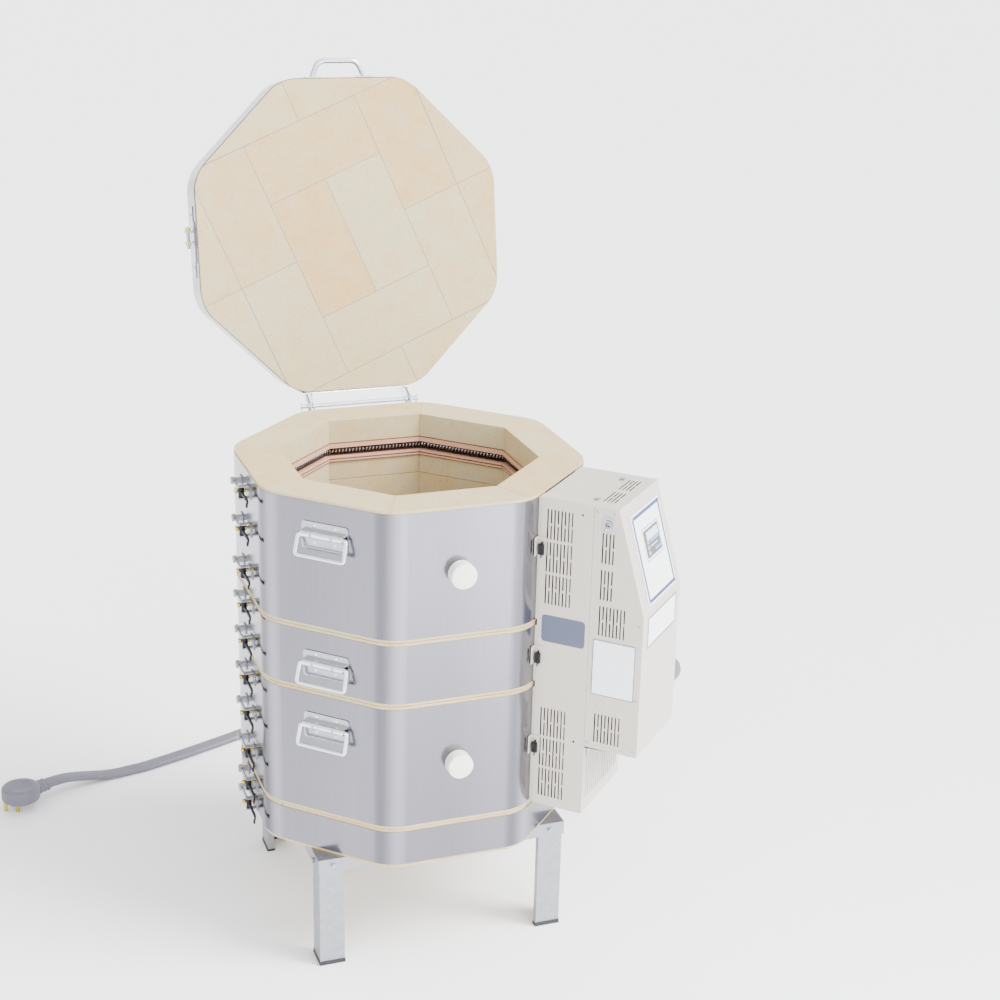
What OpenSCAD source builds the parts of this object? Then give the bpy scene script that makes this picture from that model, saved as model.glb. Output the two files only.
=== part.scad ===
// Sectional electric kiln, eight sided and top loading, in millimetres.
// The origin is on the floor, under the middle of the whole kiln, +Z is up and the front is -Y.
// Every piece is drawn about the kiln's own axis, and at_middle() then moves it to the origin.
// The steel faces are numbered anticlockwise from the front, seen from above:
// 0 front, 1 control box, 3 rear handles, 4 hinge, 6 latches, 7 front handles.

/* [Kiln body] */
// Width across two opposite steel faces
body_w = 575; // [480:1:640]
// Radius of the upright corners
corner_r = 78; // [50:1:84]
// Thickness of the brick wall
wall_t = 76.2; // [64:0.1:90]
// Height of one brick course
course_h = 114.3; // [100:0.1:125]
// Thickness of the brick floor
slab_t = 73; // [60:1:90]
// Joint between two bricks
mortar = 0.8; // [0.4:0.1:0.9]
// Thickness of the stainless jackets
jacket_t = 0.7; // [0.5:0.1:1]
// Bare brick left above and below each jacket
bare_edge = 5.5; // [3:0.5:8]

/* [Lid] */
// Thickness of the lid slab
lid_t = 76.2; // [64:0.1:90]
// Angle at which the open lid rests on its stop
lid_open = 100; // [92:1:105]
// Bare brick left above and below the lid band
lid_bare = 4; // [3:0.5:8]
// Diameter of the lid handle's bar
handle_d = 10; // [8:0.5:12]
// Length between the lid handle's feet
handle_l = 100; // [80:1:120]
// Reach of the lid handle beyond the lid
handle_reach = 37; // [30:1:40]

/* [Lid hinge] */
// Diameter of the hinge rod
rod_d = 8; // [6:0.5:9]
// Distance of the rod's axis behind the jacket
rod_out = 25.1; // [23:0.1:30]
// Width of the hinge leaves
leaf_w = 210; // [180:1:220]
// Thickness of the hinge leaves and ears
leaf_t = 2.5; // [2:0.1:3]

/* [Stand] */
// Height of the stand
stand_h = 211.2; // [160:0.1:300]
// Outside width of the square stand frame
frame_w = 453; // [420:1:480]
// Width of the frame's angle iron
angle_w = 25; // [22:1:30]
// Thickness of the frame's angle iron
angle_t = 2.5; // [2:0.1:3]
// Width of a leg's two flanges
leg_w = 44.5; // [38:0.5:50]
// Width of a leg's stiffening lips
leg_lip = 13; // [8:0.5:15]
// Thickness of the leg steel
leg_t = 2; // [1.5:0.1:3]
// Thickness of the rubber foot under a leg
foot_t = 4; // [3:0.5:6]

/* [Control box] */
// Width of the control box
box_w = 175; // [165:1:200]
// Depth of the fixed rear box
rear_d = 93.9; // [85:0.1:110]
// Depth of the hinged front box at its foot
front_d = 95.1; // [85:0.1:110]
// Depth of the hinged front box at its top
front_top_d = 43.8; // [40:0.1:50]
// Height of the front box's slope
slope_h = 179.3; // [170:0.1:195]
// Height of the front box
front_h = 433.4; // [425:0.1:450]
// Height of the rear box
rear_h = 563.6; // [555:0.1:575]
// Depth of the box top below the kiln rim
box_drop = 4.8; // [4:0.1:20]
// Thickness of the box sheet
sheet_t = 1.5; // [1:0.1:2]
// Width of one louvre slot
slot_w = 2.4; // [2:0.1:3]
// Height of one louvre slot
slot_h = 53; // [50:1:54]
// Spacing of the louvre slots
slot_pitch = 6.2; // [6:0.1:6.5]

/* [Heating] */
// Depth of each element row below its course's top
row_drop = 61; // [55:1:66]
// Height of the element holders
holder_h = 36; // [32:1:40]
// Depth of the element groove in the brick
groove_d = 26; // [24:1:30]
// Outer diameter of the element coil
coil_d = 13; // [10:0.5:14]
// Diameter of the element wire
wire_d = 2.2; // [1.8:0.1:2.6]
// Curls drawn on the top element
curls = 72; // [48:8:88]

/* [Peepholes] */
// Bore of a peephole
peep_d = 30; // [25:1:34]
// Diameter of a peephole plug's knob
knob_d = 44; // [40:1:50]
// Height of a peephole plug's knob
knob_h = 22; // [16:1:26]

/* [Body handles] */
// Width of a handle plate
plate_w = 86; // [80:1:100]
// Height of a handle plate
plate_h = 47; // [44:1:56]
// Diameter of a handle's bail
bail_d = 7; // [6:0.5:8]

/* [Latches] */
// Length of a latch lever from its pin
lever_l = 68; // [55:1:75]
// Diameter of a latch's draw rod
draw_d = 5; // [4:0.5:6]

/* [Power cord] */
// Width of the flat cord
cord_w = 30; // [26:1:32]
// Thickness of the flat cord
cord_t = 12; // [10:1:13]
// Diameter of the plug body
plug_d = 76; // [70:1:80]

/* [Hidden] */
$fn = 48;

// Overrun of every cut past the face that it opens
over = 1;
// Clearance between pieces that seat on each other
seat_gap = 0.3;
// Radial clearance of a turning or sliding piece
run_gap = 0.3;
// Turn from one face of the octagon to the next
side_a = 45;
// Chords in one rounded corner, twice this for the whole corner
arc_n = 3;

// Middle of the kiln with its box and open lid, as x and y from the kiln's axis
middle = [63.7, 45.7];

// Places of the octagon
ap = body_w / 2;
brick_ap = ap - jacket_t - seat_gap;
brick_r = corner_r - jacket_t - seat_gap;
inner_ap = brick_ap - wall_t;
floor_top = stand_h + slab_t;
rim_z = floor_top + 5 * course_h;
// Bottom of each ring
ring_z = [floor_top, floor_top + 2 * course_h, floor_top + 3 * course_h];
ring_courses = [2, 1, 2];
// Height of each element row, from the bottom up
row_z = [for (i = [1:5]) floor_top + i * course_h - row_drop];
// Peepholes lie on the joint between a ring's two courses
peep_z = [ring_z[2] + course_h, ring_z[0] + course_h];
peep_wall_d = peep_d + 4 * jacket_t;

// Hinge rod, on the level of the kiln's rim
rod_y = ap + rod_out;
rod_z = rim_z - leaf_t / 2;
ear_r = rod_d / 2 + 2 * leaf_t;
ear_x = leaf_w / 2 - 3 * leaf_t;
lid_ear_x = ear_x - 3 * leaf_t;
leaf_h = 5 * lid_t / 6;
body_leaf_h = leaf_h - 2 * leaf_t;
rivet_d = 6;
rivet_h = 2.4;

// Control box, on face 1: v runs along the face and u outwards
strip_t = 3.2;
strip_w = 24;
rear_u = ap + 2 * seat_gap + strip_t;
seam_u = rear_u + rear_d;
box_top = rim_z - box_drop;
front_bottom = box_top - front_h;
rear_bottom = box_top - rear_h;
front_gap = 0.4;
slope_run = front_d - front_top_d;
slope_a = atan(slope_run / slope_h);
slope_l = sqrt(slope_run * slope_run + slope_h * slope_h);
// Pin of the front box's bottom hinge
box_pin_d = 5;
box_pin_u = seam_u + box_pin_d;
box_pin_z = front_bottom - box_pin_d;
knuckle_d = box_pin_d + 4;
knuckle_l = 30;

// Louvre blocks on a box side: start u from the seam, top z below the box top, columns, bands
rear_slot_u = -81.7;
front_slot_u = 16.4;
rear_slot_tops = [19.2, 378.2];
rear_band_pitch = 57.6;
narrow_tops = [43.7, 108.2];
wide_tops = [171.7, 367.6];
top_slot_u = 4;
slot_break = 4;
slot_cols = 8;
narrow_cols = 4;
low_slot_edge = 22.7;

// Faceplate on the slope, and what it carries
face_w = 127;
face_h = 154;
face_t = 2;
face_v = 4;
face_s = 99;
screen_w = 64;
screen_h = 46;
screen_t = 3;
screen_v = 8;
screen_s = 82;
screw_d = 5;

// Plates on the visible side of the box: middle u from the seam, middle z below the top, size
plate_t = 0.6;
grey_plate = [-46, 231, 78, 48];
white_plate = [46.3, 282.4, 75.5, 100];
switch_plate = [25.3, 27.5, 17, 25];
low_plate = [0, 214, 132, 55];
knock_d = 17;
knock_place = [24.8, 348.5];
side_hole_d = 4;
side_holes = [[-19.4, 19.7], [-19.2, 429.8]];
toggle_d = 5;
toggle_l = 16;
toggle_a = 30;
toggle_ball = 7;

// Handles on faces 7 and 3
handle_drop = 40;
ridge_d = bail_d + 5;
ridge_out = ridge_d / 2 + 2.5;
ridge_drop = 19;
bail_w = plate_w + 12;
bail_h = 36;
bail_lean = 18;
bail_stub = 12;

// Latches on face 6: lever pin and draw rod
latch_tops = [37, 105, 182, 245.5, 313, 382, 451, 525, 589, 627.5];
pin_t = 24;
pin_n = 13;
pin_d = 5;
hub_d = 10;
hub_h = 18;
yoke_t = 2;
lever_w = 8;
lever_t = 4;
barrel_d = 8;
barrel_l = 20;
barrel_t = 9.5;
keeper_t = 60;
nut_d = 9;
nut_l = 5;

// Points of the octagon's outline: width across flats w, corner radius r
function oct_points(w, r) = [
    for (k = [0:7], i = [0:2 * arc_n])
        let (c = side_a * (k + 0.5) - 90, t = side_a * (k + i / (2 * arc_n)) - 90)
        (w / 2 - r) / cos(side_a / 2) * [cos(c), sin(c)] + r * [cos(t), sin(t)]
];

// Half of a brick's outer corner: side 1 is the right end, side -1 the left end
function corner_point(a, r, side, i) =
    let (
        c = 90 - side_a / 2,
        t = 90 - side_a / 2 * (1 - i / arc_n),
        slip = i == 0 ? mortar / 2 : 0
    )
    [
        side * ((a - r) / cos(side_a / 2) * cos(c) + r * cos(t) - slip * sin(c)),
        -(a - r) / cos(side_a / 2) * sin(c) - r * sin(t) - slip * cos(c)
    ];

// Plan of the brick on the front face, with mitred ends
function brick_points(a, r, t) =
    let (x = (a - t) * tan(side_a / 2) - mortar / 2 / cos(side_a / 2))
    concat(
        [[-x, -(a - t)], [x, -(a - t)]],
        [for (i = [0:arc_n]) corner_point(a, r, 1, i)],
        [for (i = [arc_n:-1:0]) corner_point(a, r, -1, i)]
    );

module at_middle() translate([-middle[0], -middle[1], 0]) children();

module on_face(k) rotate([0, 0, side_a * k]) children();

// Puts a child on face k: t along the face, n outwards from the steel, z up
module at_face(k, t, n, z) on_face(k) translate([t, -(ap + n), z]) children();

// A cylinder along the face's outward normal, from n to n + l
module peg(d, l) rotate([90, 0, 0]) cylinder(d = d, h = l);

module bar_x(d, l) rotate([0, 90, 0]) cylinder(d = d, h = l, center = true);

// A block centred along the face and in height, standing outwards
module block(w, l, h) translate([-w / 2, -l, -h / 2]) cube([w, l, h]);

module octagon_slab(w, r, h) linear_extrude(height = h) polygon(oct_points(w, r));

module jacket_skin(z, h, edge) {
    skin_h = h - 2 * edge;
    translate([0, 0, z + edge]) difference() {
        octagon_slab(body_w, corner_r, skin_h);
        translate([0, 0, -over])
            octagon_slab(body_w - 2 * jacket_t, corner_r - jacket_t, skin_h + 2 * over);
    }
}

/* Stand */

module leg_outline(grow) {
    w = leg_w + grow;
    t = leg_t + 2 * grow;
    lip = leg_lip + grow;
    translate([-grow, -grow]) {
        square([w + grow, t]);
        square([t, w + grow]);
        translate([w + grow - t, 0]) square([t, lip + grow]);
        translate([0, w + grow - t]) square([lip + grow, t]);
    }
}

// Four copies, one at each corner of the stand, with the child's corner outwards
module at_legs() {
    c = frame_w / 2 - angle_t - seat_gap;
    for (k = [0:3]) rotate([0, 0, 90 * k]) translate([-c, -c, 0]) children();
}

module leg_caps() color("#1d1d1f") at_legs() {
    grow = leg_t / 2;
    linear_extrude(height = foot_t) leg_outline(grow);
    translate([-grow, -grow, 0]) linear_extrude(height = 2 * foot_t) {
        square([leg_w + 2 * grow, grow - seat_gap]);
        square([grow - seat_gap, leg_w + 2 * grow]);
    }
}

module stand_legs() color("#b4b8be") at_legs()
    difference() {
        translate([0, 0, foot_t])
            linear_extrude(height = stand_h - angle_t - foot_t - seat_gap) leg_outline(0);
        leg_bolt_holes();
    }

bolt_d = 6;
bolt_head = 10;
bolt_h = 4;
bolt_in = 24;

module leg_bolt_holes() {
    z = stand_h - angle_w / 2;
    translate([bolt_in, -over - angle_t, z]) rotate([-90, 0, 0])
        cylinder(d = bolt_d + 2 * run_gap, h = leg_t + angle_t + 2 * over);
    translate([-over - angle_t, bolt_in, z]) rotate([0, 90, 0])
        cylinder(d = bolt_d + 2 * run_gap, h = leg_t + angle_t + 2 * over);
}

module stand_frame() color("#b9bdc3") for (k = [0:3]) rotate([0, 0, 90 * k]) {
    h = frame_w / 2;
    g = seat_gap;
    difference() {
        union() {
            translate([0, 0, stand_h - angle_t]) linear_extrude(height = angle_t) polygon([
                [-h + g, -h], [h - g, -h],
                [h - angle_w - g, -h + angle_w], [-h + angle_w + g, -h + angle_w]
            ]);
            translate([0, 0, stand_h - angle_w]) linear_extrude(height = angle_w) polygon([
                [-h + g, -h], [h - g, -h],
                [h - angle_t - g, -h + angle_t], [-h + angle_t + g, -h + angle_t]
            ]);
        }
        for (s = [-1, 1])
            translate([s * (h - angle_t - seat_gap - bolt_in), -h - over, stand_h - angle_w / 2])
                rotate([-90, 0, 0])
                    cylinder(d = bolt_d + 2 * run_gap, h = angle_t + 2 * over);
    }
}

module hex_bolt(grip) {
    rotate([90, 0, 0]) cylinder(d = bolt_head, h = bolt_h, $fn = 6);
    rotate([-90, 0, 0]) cylinder(d = bolt_d, h = grip + bolt_h);
    translate([0, grip + bolt_h, 0]) rotate([90, 0, 0])
        cylinder(d = bolt_head, h = bolt_h - seat_gap, $fn = 6);
}

module stand_bolts() color("#9a9ea5") for (k = [0:3], s = [-1, 1]) rotate([0, 0, 90 * k])
    translate([
        s * (frame_w / 2 - angle_t - seat_gap - bolt_in),
        -frame_w / 2 - seat_gap,
        stand_h - angle_w / 2
    ])
        hex_bolt(angle_t + leg_t + 3 * seat_gap);

/* Brickwork and jackets */

module floor_slab() color("#e6dcc6") translate([0, 0, stand_h])
    octagon_slab(2 * brick_ap, brick_r, slab_t - mortar / 2);

module floor_jacket() color("#b9b9c2") jacket_skin(stand_h, slab_t, bare_edge);

// The groove that an element holder sits in, across the whole brick
module element_groove(z)
    translate([-ap, -inner_ap - groove_d, z - holder_h / 2]) cube([body_w, groove_d + over, holder_h]);

module terminal_bores(z) for (t = [-1, 1])
    translate([t * terminal_t, -ap - over, z]) rotate([-90, 0, 0])
        cylinder(d = bushing_d + 2 * run_gap, h = wall_t + 2 * over);

module peep_bore(d, z) translate([0, -ap - over, z]) rotate([-90, 0, 0])
    cylinder(d = d, h = wall_t + 3 * over);

module ring_bricks(ring) for (k = [0:7], c = [0:ring_courses[ring] - 1]) {
    z = ring_z[ring] + c * course_h;
    row = z + course_h - row_drop;
    on_face(k) difference() {
        translate([0, 0, z + mortar / 2]) linear_extrude(height = course_h - mortar)
            polygon(brick_points(brick_ap, brick_r, wall_t));
        element_groove(row);
        if (k == 0 && ring != 1) peep_bore(peep_d, ring_z[ring] + course_h);
        if (k == 1) terminal_bores(row);
        if (k == 1 && ring == 1) probe_bore(probe_d + 2 * run_gap);
    }
}

module ring_jacket(ring) difference() {
    jacket_skin(ring_z[ring], ring_courses[ring] * course_h, bare_edge);
    if (ring != 1) peep_bore(peep_wall_d, ring_z[ring] + course_h);
    for (c = [1:ring_courses[ring]])
        on_face(1) terminal_bores(ring_z[ring] + c * course_h - row_drop);
    if (ring == 1) on_face(1) probe_bore(probe_d + 4 * run_gap);
}

module bottom_ring_bricks() color("#e6dcc6") ring_bricks(0);
module middle_ring_bricks() color("#e3d8c1") ring_bricks(1);
module top_ring_bricks() color("#e0d5be") ring_bricks(2);
module bottom_ring_jacket() color("#b4b4bd") ring_jacket(0);
module middle_ring_jacket() color("#b7b7c0") ring_jacket(1);
module top_ring_jacket() color("#babac3") ring_jacket(2);

/* Elements, terminals and thermocouple */

holder_proud = 3;
holder_l = 2 * ((inner_ap - holder_proud) * tan(side_a / 2) - seat_gap);
holder_lip = 10.2;
cavity_d = coil_d + 5;
coil_in = cavity_d / 2 + 2;
coil_ap = inner_ap + coil_in;
terminal_t = 15;
terminal_d = 5;
terminal_block = 9;
bushing_d = 10;
probe_d = 8;
probe_z = ring_z[1] + course_h - row_drop / 3;
probe_in = 15;

module element_holders() color("#c99a84") for (k = [0:7], z = row_z) on_face(k) difference() {
    depth = groove_d - seat_gap + holder_proud;
    high = holder_h - 2 * seat_gap;
    translate([0, -inner_ap + holder_proud, z]) block(holder_l, depth, high);
    translate([0, -coil_ap, z]) bar_x(cavity_d, holder_l + 2 * over);
    translate([0, -inner_ap + holder_proud + over, z])
        block(holder_l + 2 * over, coil_in + holder_proud + over, high - 2 * holder_lip);
    if (k == 1) terminal_bores(z);
}

// The element's path is an octagon with rounded corners, walked from the middle of face 1
path_r = 30;
path_flat = 2 * (coil_ap - path_r) * tan(side_a / 2);
path_arc = path_r * side_a * PI / 180;
path_side = path_flat + path_arc;

// Place on the path and the outward direction's angle, at length s from face 1's middle
function path_at(s) =
    let (
        q = s + path_flat / 2,
        k = floor(q / path_side),
        r = q - k * path_side,
        face = side_a * (1 + k) - 90,
        bend = max(0, r - path_flat) / path_arc * side_a,
        along = min(r, path_flat) - path_flat / 2,
        corner = (coil_ap - path_r) * [cos(face), sin(face)] + path_flat / 2 * [-sin(face), cos(face)]
    )
    r <= path_flat
    ? [coil_ap * [cos(face), sin(face)] + along * [-sin(face), cos(face)], face]
    : [corner + path_r * [cos(face + bend), sin(face + bend)], face + bend];

coil_start = terminal_t + terminal_block / 2;
coil_l = 8 * path_side - 2 * coil_start;
coil_steps = 8;
coil_sides = 6;
coil_count = curls * coil_steps;
// Share of one curl over which the coil draws in to a straight end
draw_share = 0.75;
end_share = 0.25;

// Curls fade to a straight end at both of the coil's ends
function coil_fade(i) =
    let (c = min(i, coil_count - i) / coil_steps, f = min(1, max(0, (c - end_share) / draw_share)))
    f * f * (3 - 2 * f);

function coil_point(i, z) =
    let (
        p = path_at(coil_start + coil_l * i / coil_count),
        r = (coil_d - wire_d) / 2 * coil_fade(i),
        t = 360 * i / coil_steps,
        d = p[0] + r * cos(t) * [cos(p[1]), sin(p[1])]
    )
    [d[0], d[1], z + r * sin(t)];

function unit(v) = v / norm(v);

// Ring of points round a path, square to the run of its neighbours
function tube_ring(before, here, after, side_dir, w, t, n) =
    let (
        run = unit(after - before),
        a = unit(side_dir - (side_dir * run) * run),
        b = cross(run, a)
    )
    [for (j = [0:n - 1]) here + w / 2 * cos(360 * j / n) * a + t / 2 * sin(360 * j / n) * b];

// Closed tube through rings of n points each
module tube_skin(rings, n) {
    m = len(rings);
    polyhedron(
        points = [for (ring = rings, q = ring) q],
        faces = concat(
            [for (i = [1:n - 2]) [0, i, i + 1]],
            [for (i = [0:m - 2], j = [0:n - 1]) [i * n + j, (i + 1) * n + j, i * n + (j + 1) % n]],
            [for (i = [0:m - 2], j = [0:n - 1])
                [i * n + (j + 1) % n, (i + 1) * n + j, (i + 1) * n + (j + 1) % n]],
            [for (i = [1:n - 2]) [(m - 1) * n, (m - 1) * n + i + 1, (m - 1) * n + i]]
        )
    );
}

function coil_ring(i, z) =
    let (
        here = coil_point(i, z),
        before = i == 0 ? 2 * here - coil_point(1, z) : coil_point(i - 1, z),
        after = i == coil_count ? 2 * here - coil_point(i - 1, z) : coil_point(i + 1, z)
    )
    tube_ring(before, here, after, [0, 0, 1], wire_d, wire_d, coil_sides);

// Least gap between one curl and the next, on the coil's own points
coil_gap = min([
    for (i = [2 * coil_steps:4 * coil_steps], j = [coil_steps - 2:coil_steps + 2])
        norm(coil_point(i + j, 0) - coil_point(i, 0))
]) - wire_d;

module top_heating_coil() color("#4a4440") {
    echo(least_gap_between_curls = coil_gap);
    tube_skin([for (i = [0:coil_count]) coil_ring(i, row_z[4])], coil_sides);
}

// The lower elements are out of the light, each a plain tube round its row
plain_sides = 8;
plain_steps = 40;

function plain_ring(i, z) =
    let (p = path_at(coil_start + coil_l * i / plain_steps))
    [for (j = [0:plain_sides - 1])
        let (a = 360 * j / plain_sides, r = coil_d / 2, d = p[0] + r * cos(a) * [cos(p[1]), sin(p[1])])
        [d[0], d[1], z + r * sin(a)]];

module lower_heating_coils() color("#4a4440") for (k = [0:3])
    tube_skin([for (i = [0:plain_steps]) plain_ring(i, row_z[k])], plain_sides);

module element_terminals() color("#a9abad") on_face(1) for (z = row_z, s = [-1, 1])
    translate([s * terminal_t, -coil_ap, z]) {
        cube([terminal_block, coil_d, terminal_block], center = true);
        rotate([90, 0, 0]) cylinder(d = terminal_d, h = rear_u - coil_ap + 4 * terminal_d);
        translate([0, coil_ap - rear_u - 2 * terminal_d, 0]) peg(2 * terminal_d, terminal_d);
        bushing();
    }

module bushing() {
    back = inner_ap + groove_d + holder_proud;
    translate([0, coil_ap - back, 0]) difference() {
        peg(bushing_d, rear_u + 2 * sheet_t - back);
        translate([0, over, 0])
            peg(terminal_d + 2 * run_gap, rear_u + 2 * sheet_t - back + 2 * over);
    }
}

module probe_bore(d) translate([0, -ap - over, probe_z]) rotate([-90, 0, 0])
    cylinder(d = d, h = wall_t + 3 * over);

module thermocouple() color("#efe9dc") on_face(1) translate([0, -inner_ap + probe_in, probe_z]) {
    peg(probe_d, rear_u + 2 * probe_d - inner_ap + probe_in);
    translate([0, inner_ap - probe_in - rear_u - 2 * sheet_t, 0]) peg(3 * probe_d, 2 * probe_d);
}

/* Lid, drawn closed and then swung open about the rod */

module opened() translate([0, rod_y, rod_z]) rotate([-lid_open, 0, 0]) translate([0, -rod_y, -rod_z])
    children();

module lid_slab() color("#e2d9c6") opened() translate([0, 0, rim_z])
    octagon_slab(2 * brick_ap, brick_r, lid_t);

module lid_band() color("#c3c3cb") opened() jacket_skin(rim_z, lid_t, lid_bare);

clamp_w = 76;
clamp_h = 40;
clamp_d = 14;
clamp_bolt = 6;

// A strap over the band's ends, with an ear and the bolt that draws the band tight
module lid_clamp() color("#a7a9ae") opened() at_face(6, 0, seat_gap, rim_z + lid_t / 2) {
    block(clamp_w, sheet_t, clamp_h);
    for (s = [0, 1]) translate([s * clamp_w / 4, -sheet_t / 2, 0]) block(2 * sheet_t, clamp_d, clamp_h / 2);
    translate([clamp_w / 8 - clamp_bolt / 2, -sheet_t - clamp_d / 2, 0]) bar_x(clamp_bolt, clamp_w / 2);
}

foot_w = 36;
foot_h = 22;
foot_plate_t = 3;

// An elbow at a bend is this much thicker than its bar, turns at this share of the bar's
// thickness, and takes in this share of the bar at each end
elbow_share = 1.06;
elbow_turn = 0.7;
elbow_bite = 0.05;

function run(points, i) = (points[i + 1] - points[i]) / norm(points[i + 1] - points[i]);
function bend(points, i) = acos(run(points, i - 1) * run(points, i));
function cut_back(points, i, d) =
    i == 0 || i == len(points) - 1 ? 0 : elbow_turn * d * tan(bend(points, i) / 2) - elbow_bite * d;

// A round bar through a list of points in one level plane, with an elbow at each bend
module bent_bar(points, d) {
    for (i = [0:len(points) - 2]) {
        step = run(points, i);
        l = norm(points[i + 1] - points[i]) - cut_back(points, i, d) - cut_back(points, i + 1, d);
        translate(points[i] + cut_back(points, i, d) * step)
            rotate([0, 90, atan2(step[1], step[0])]) cylinder(d = d, h = l);
    }
    for (i = [1:len(points) - 2]) {
        r = elbow_turn * d;
        in = run(points, i - 1);
        side = sign(cross(in, run(points, i))[2]);
        away = side * [in[1], -in[0], 0];
        translate(points[i] - r * tan(bend(points, i) / 2) * in - r * away)
            rotate([0, 0, atan2(away[1], away[0]) - (side < 0 ? bend(points, i) : 0)])
                rotate_extrude(angle = bend(points, i)) translate([r, 0]) circle(d = elbow_share * d);
    }
}

module lid_handle() color("#d4d4d8") opened() at_face(0, 0, seat_gap, rim_z + lid_t / 2) {
    reach = handle_reach - handle_d / 2;
    inner = handle_l / 2 - handle_d - seat_gap * handle_d;
    bent_bar(
        [
            [-handle_l / 2, -foot_plate_t / 2, 0], [-inner, -reach, 0],
            [inner, -reach, 0], [handle_l / 2, -foot_plate_t / 2, 0]
        ],
        handle_d
    );
    for (s = [-1, 1]) translate([s * handle_l / 2, 0, 0]) {
        block(foot_w, foot_plate_t, foot_h);
        for (h = [-1, 1]) translate([h * foot_w / 3, -foot_plate_t, 0]) peg(rivet_d, rivet_h);
    }
}

// The lid's leaf lies on the band, and its two ears reach back to the rod
module lid_hinge_leaf() color("#d9d9dd") opened() {
    y = ap + seat_gap;
    low = rim_z + lid_bare + leaf_t;
    difference() {
        union() {
            translate([-leaf_w / 2, y, low]) cube([leaf_w, leaf_t, leaf_h]);
            for (s = [-1, 1]) translate([s * lid_ear_x, 0, 0]) ear([
                [y + leaf_t / 2, low], [y + leaf_t / 2, low + leaf_h / 2],
                [rod_y + 0.8 * ear_r, rod_z + 0.6 * ear_r],
                [rod_y - 0.6 * ear_r, rod_z - 0.8 * ear_r]
            ]);
            for (s = [-1, 0, 1]) translate([s * leaf_w / 3, y + leaf_t + rivet_h, low + 0.7 * leaf_h])
                peg(rivet_d, rivet_h + leaf_t / 2);
        }
        translate([0, rod_y, rod_z]) bar_x(rod_d + 2 * run_gap, 2 * leaf_w);
    }
}

// A flat ear square to the rod, from an outline in y and z and a round eye
module ear(outline) rotate([90, 0, 90]) translate([0, 0, -leaf_t / 2]) linear_extrude(height = leaf_t) {
    polygon(outline);
    translate([rod_y, rod_z]) circle(r = ear_r);
}

// The body's leaf hangs on the top ring, and its ears run back under the lid as its stop
module body_hinge_bracket() color("#c6c6cc") {
    y = ap + seat_gap;
    top = rim_z - 2 * bare_edge;
    stop_y = rod_y + 3 * ear_r;
    lift = (rod_out - seat_gap - leaf_t - seat_gap) / cos(lid_open - 90);
    stop_z = rod_z + lift - (stop_y - rod_y) * tan(lid_open - 90);
    difference() {
        union() {
            translate([-leaf_w / 2, y, top - body_leaf_h]) cube([leaf_w, leaf_t, body_leaf_h]);
            for (s = [-1, 1]) translate([s * ear_x, 0, 0]) ear([
                [y + leaf_t / 2, top - body_leaf_h / 2], [y + leaf_t / 2, top],
                [rod_y - 0.8 * ear_r, rod_z + 0.6 * ear_r],
                [rod_y, rod_z + ear_r],
                [stop_y - ear_r, stop_z + ear_r * tan(lid_open - 90)],
                [stop_y, stop_z], [stop_y, stop_z - ear_r]
            ]);
            for (s = [-1, 0, 1]) translate([s * leaf_w / 3, y + leaf_t + rivet_h, top - 0.6 * body_leaf_h])
                peg(rivet_d, rivet_h + leaf_t / 2);
        }
        translate([0, rod_y, rod_z]) bar_x(rod_d + 2 * run_gap, 2 * leaf_w);
    }
}

washer_t = 1.5;

module hinge_rod() color("#dcdce0") translate([0, rod_y, rod_z]) {
    l = leaf_w + 8 * leaf_t;
    bar_x(rod_d, l);
    for (s = [-1, 1]) {
        translate([s * (ear_x + leaf_t / 2 + seat_gap + washer_t / 2), 0, 0])
            bar_x(2.2 * rod_d, washer_t);
        translate([s * (l / 2 - leaf_t), 0, 0]) cylinder(d = leaf_t, h = 2 * rod_d, center = true);
    }
}

/* Peephole plugs */

stem_l = 62;

module peephole_plug(z) color("#f4f2ec") at_face(0, 0, seat_gap, z) {
    peg(knob_d, knob_h);
    tip_d = peep_d - stem_l / 10;
    rotate([-90, 0, 0]) cylinder(d1 = peep_d - 4 * run_gap, d2 = tip_d, h = stem_l);
}

module upper_peephole_plug() peephole_plug(peep_z[0]);
module lower_peephole_plug() peephole_plug(peep_z[1]);

/* Handles on the rings */

// Top of each handle plate, from the top ring down
handle_tops = [
    rim_z - handle_drop,
    ring_z[1] + course_h - handle_drop,
    ring_z[0] + 2 * course_h - handle_drop
];

module handle_plate() difference() {
    union() {
        translate([0, 0, -plate_h / 2]) block(plate_w, sheet_t, plate_h);
        translate([0, -ridge_out, -ridge_drop]) bar_x(ridge_d, plate_w - 8);
        translate([0, -sheet_t / 2, -ridge_drop]) block(plate_w - 8, ridge_out, ridge_d);
        for (s = [-1, 1], z = [-5, -36]) translate([s * plate_w / 4.5, -sheet_t / 2, z])
            peg(rivet_d, sheet_t / 2 + rivet_h);
    }
    translate([0, -ridge_out, -ridge_drop]) bar_x(bail_d + 2 * run_gap, plate_w + 2 * over);
}

module handle_plates() color("#c9cacf") for (k = [7, 3], z = handle_tops)
    at_face(k, 0, seat_gap, z) handle_plate();

module bail(k, z) color("#dfe0e4") at_face(k, 0, seat_gap, z) translate([0, -ridge_out, -ridge_drop])
    rotate([90 - bail_lean, 0, 0]) {
        x = (plate_w + bail_d) / 2 - seat_gap * bail_d;
        low = bail_w / 2 - bail_d / 2;
        bent_bar(
            [
                [bail_stub - x, 0, 0], [-x, 0, 0], [-low, -bail_h, 0],
                [low, -bail_h, 0], [x, 0, 0], [x - bail_stub, 0, 0]
            ],
            bail_d
        );
    }

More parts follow.
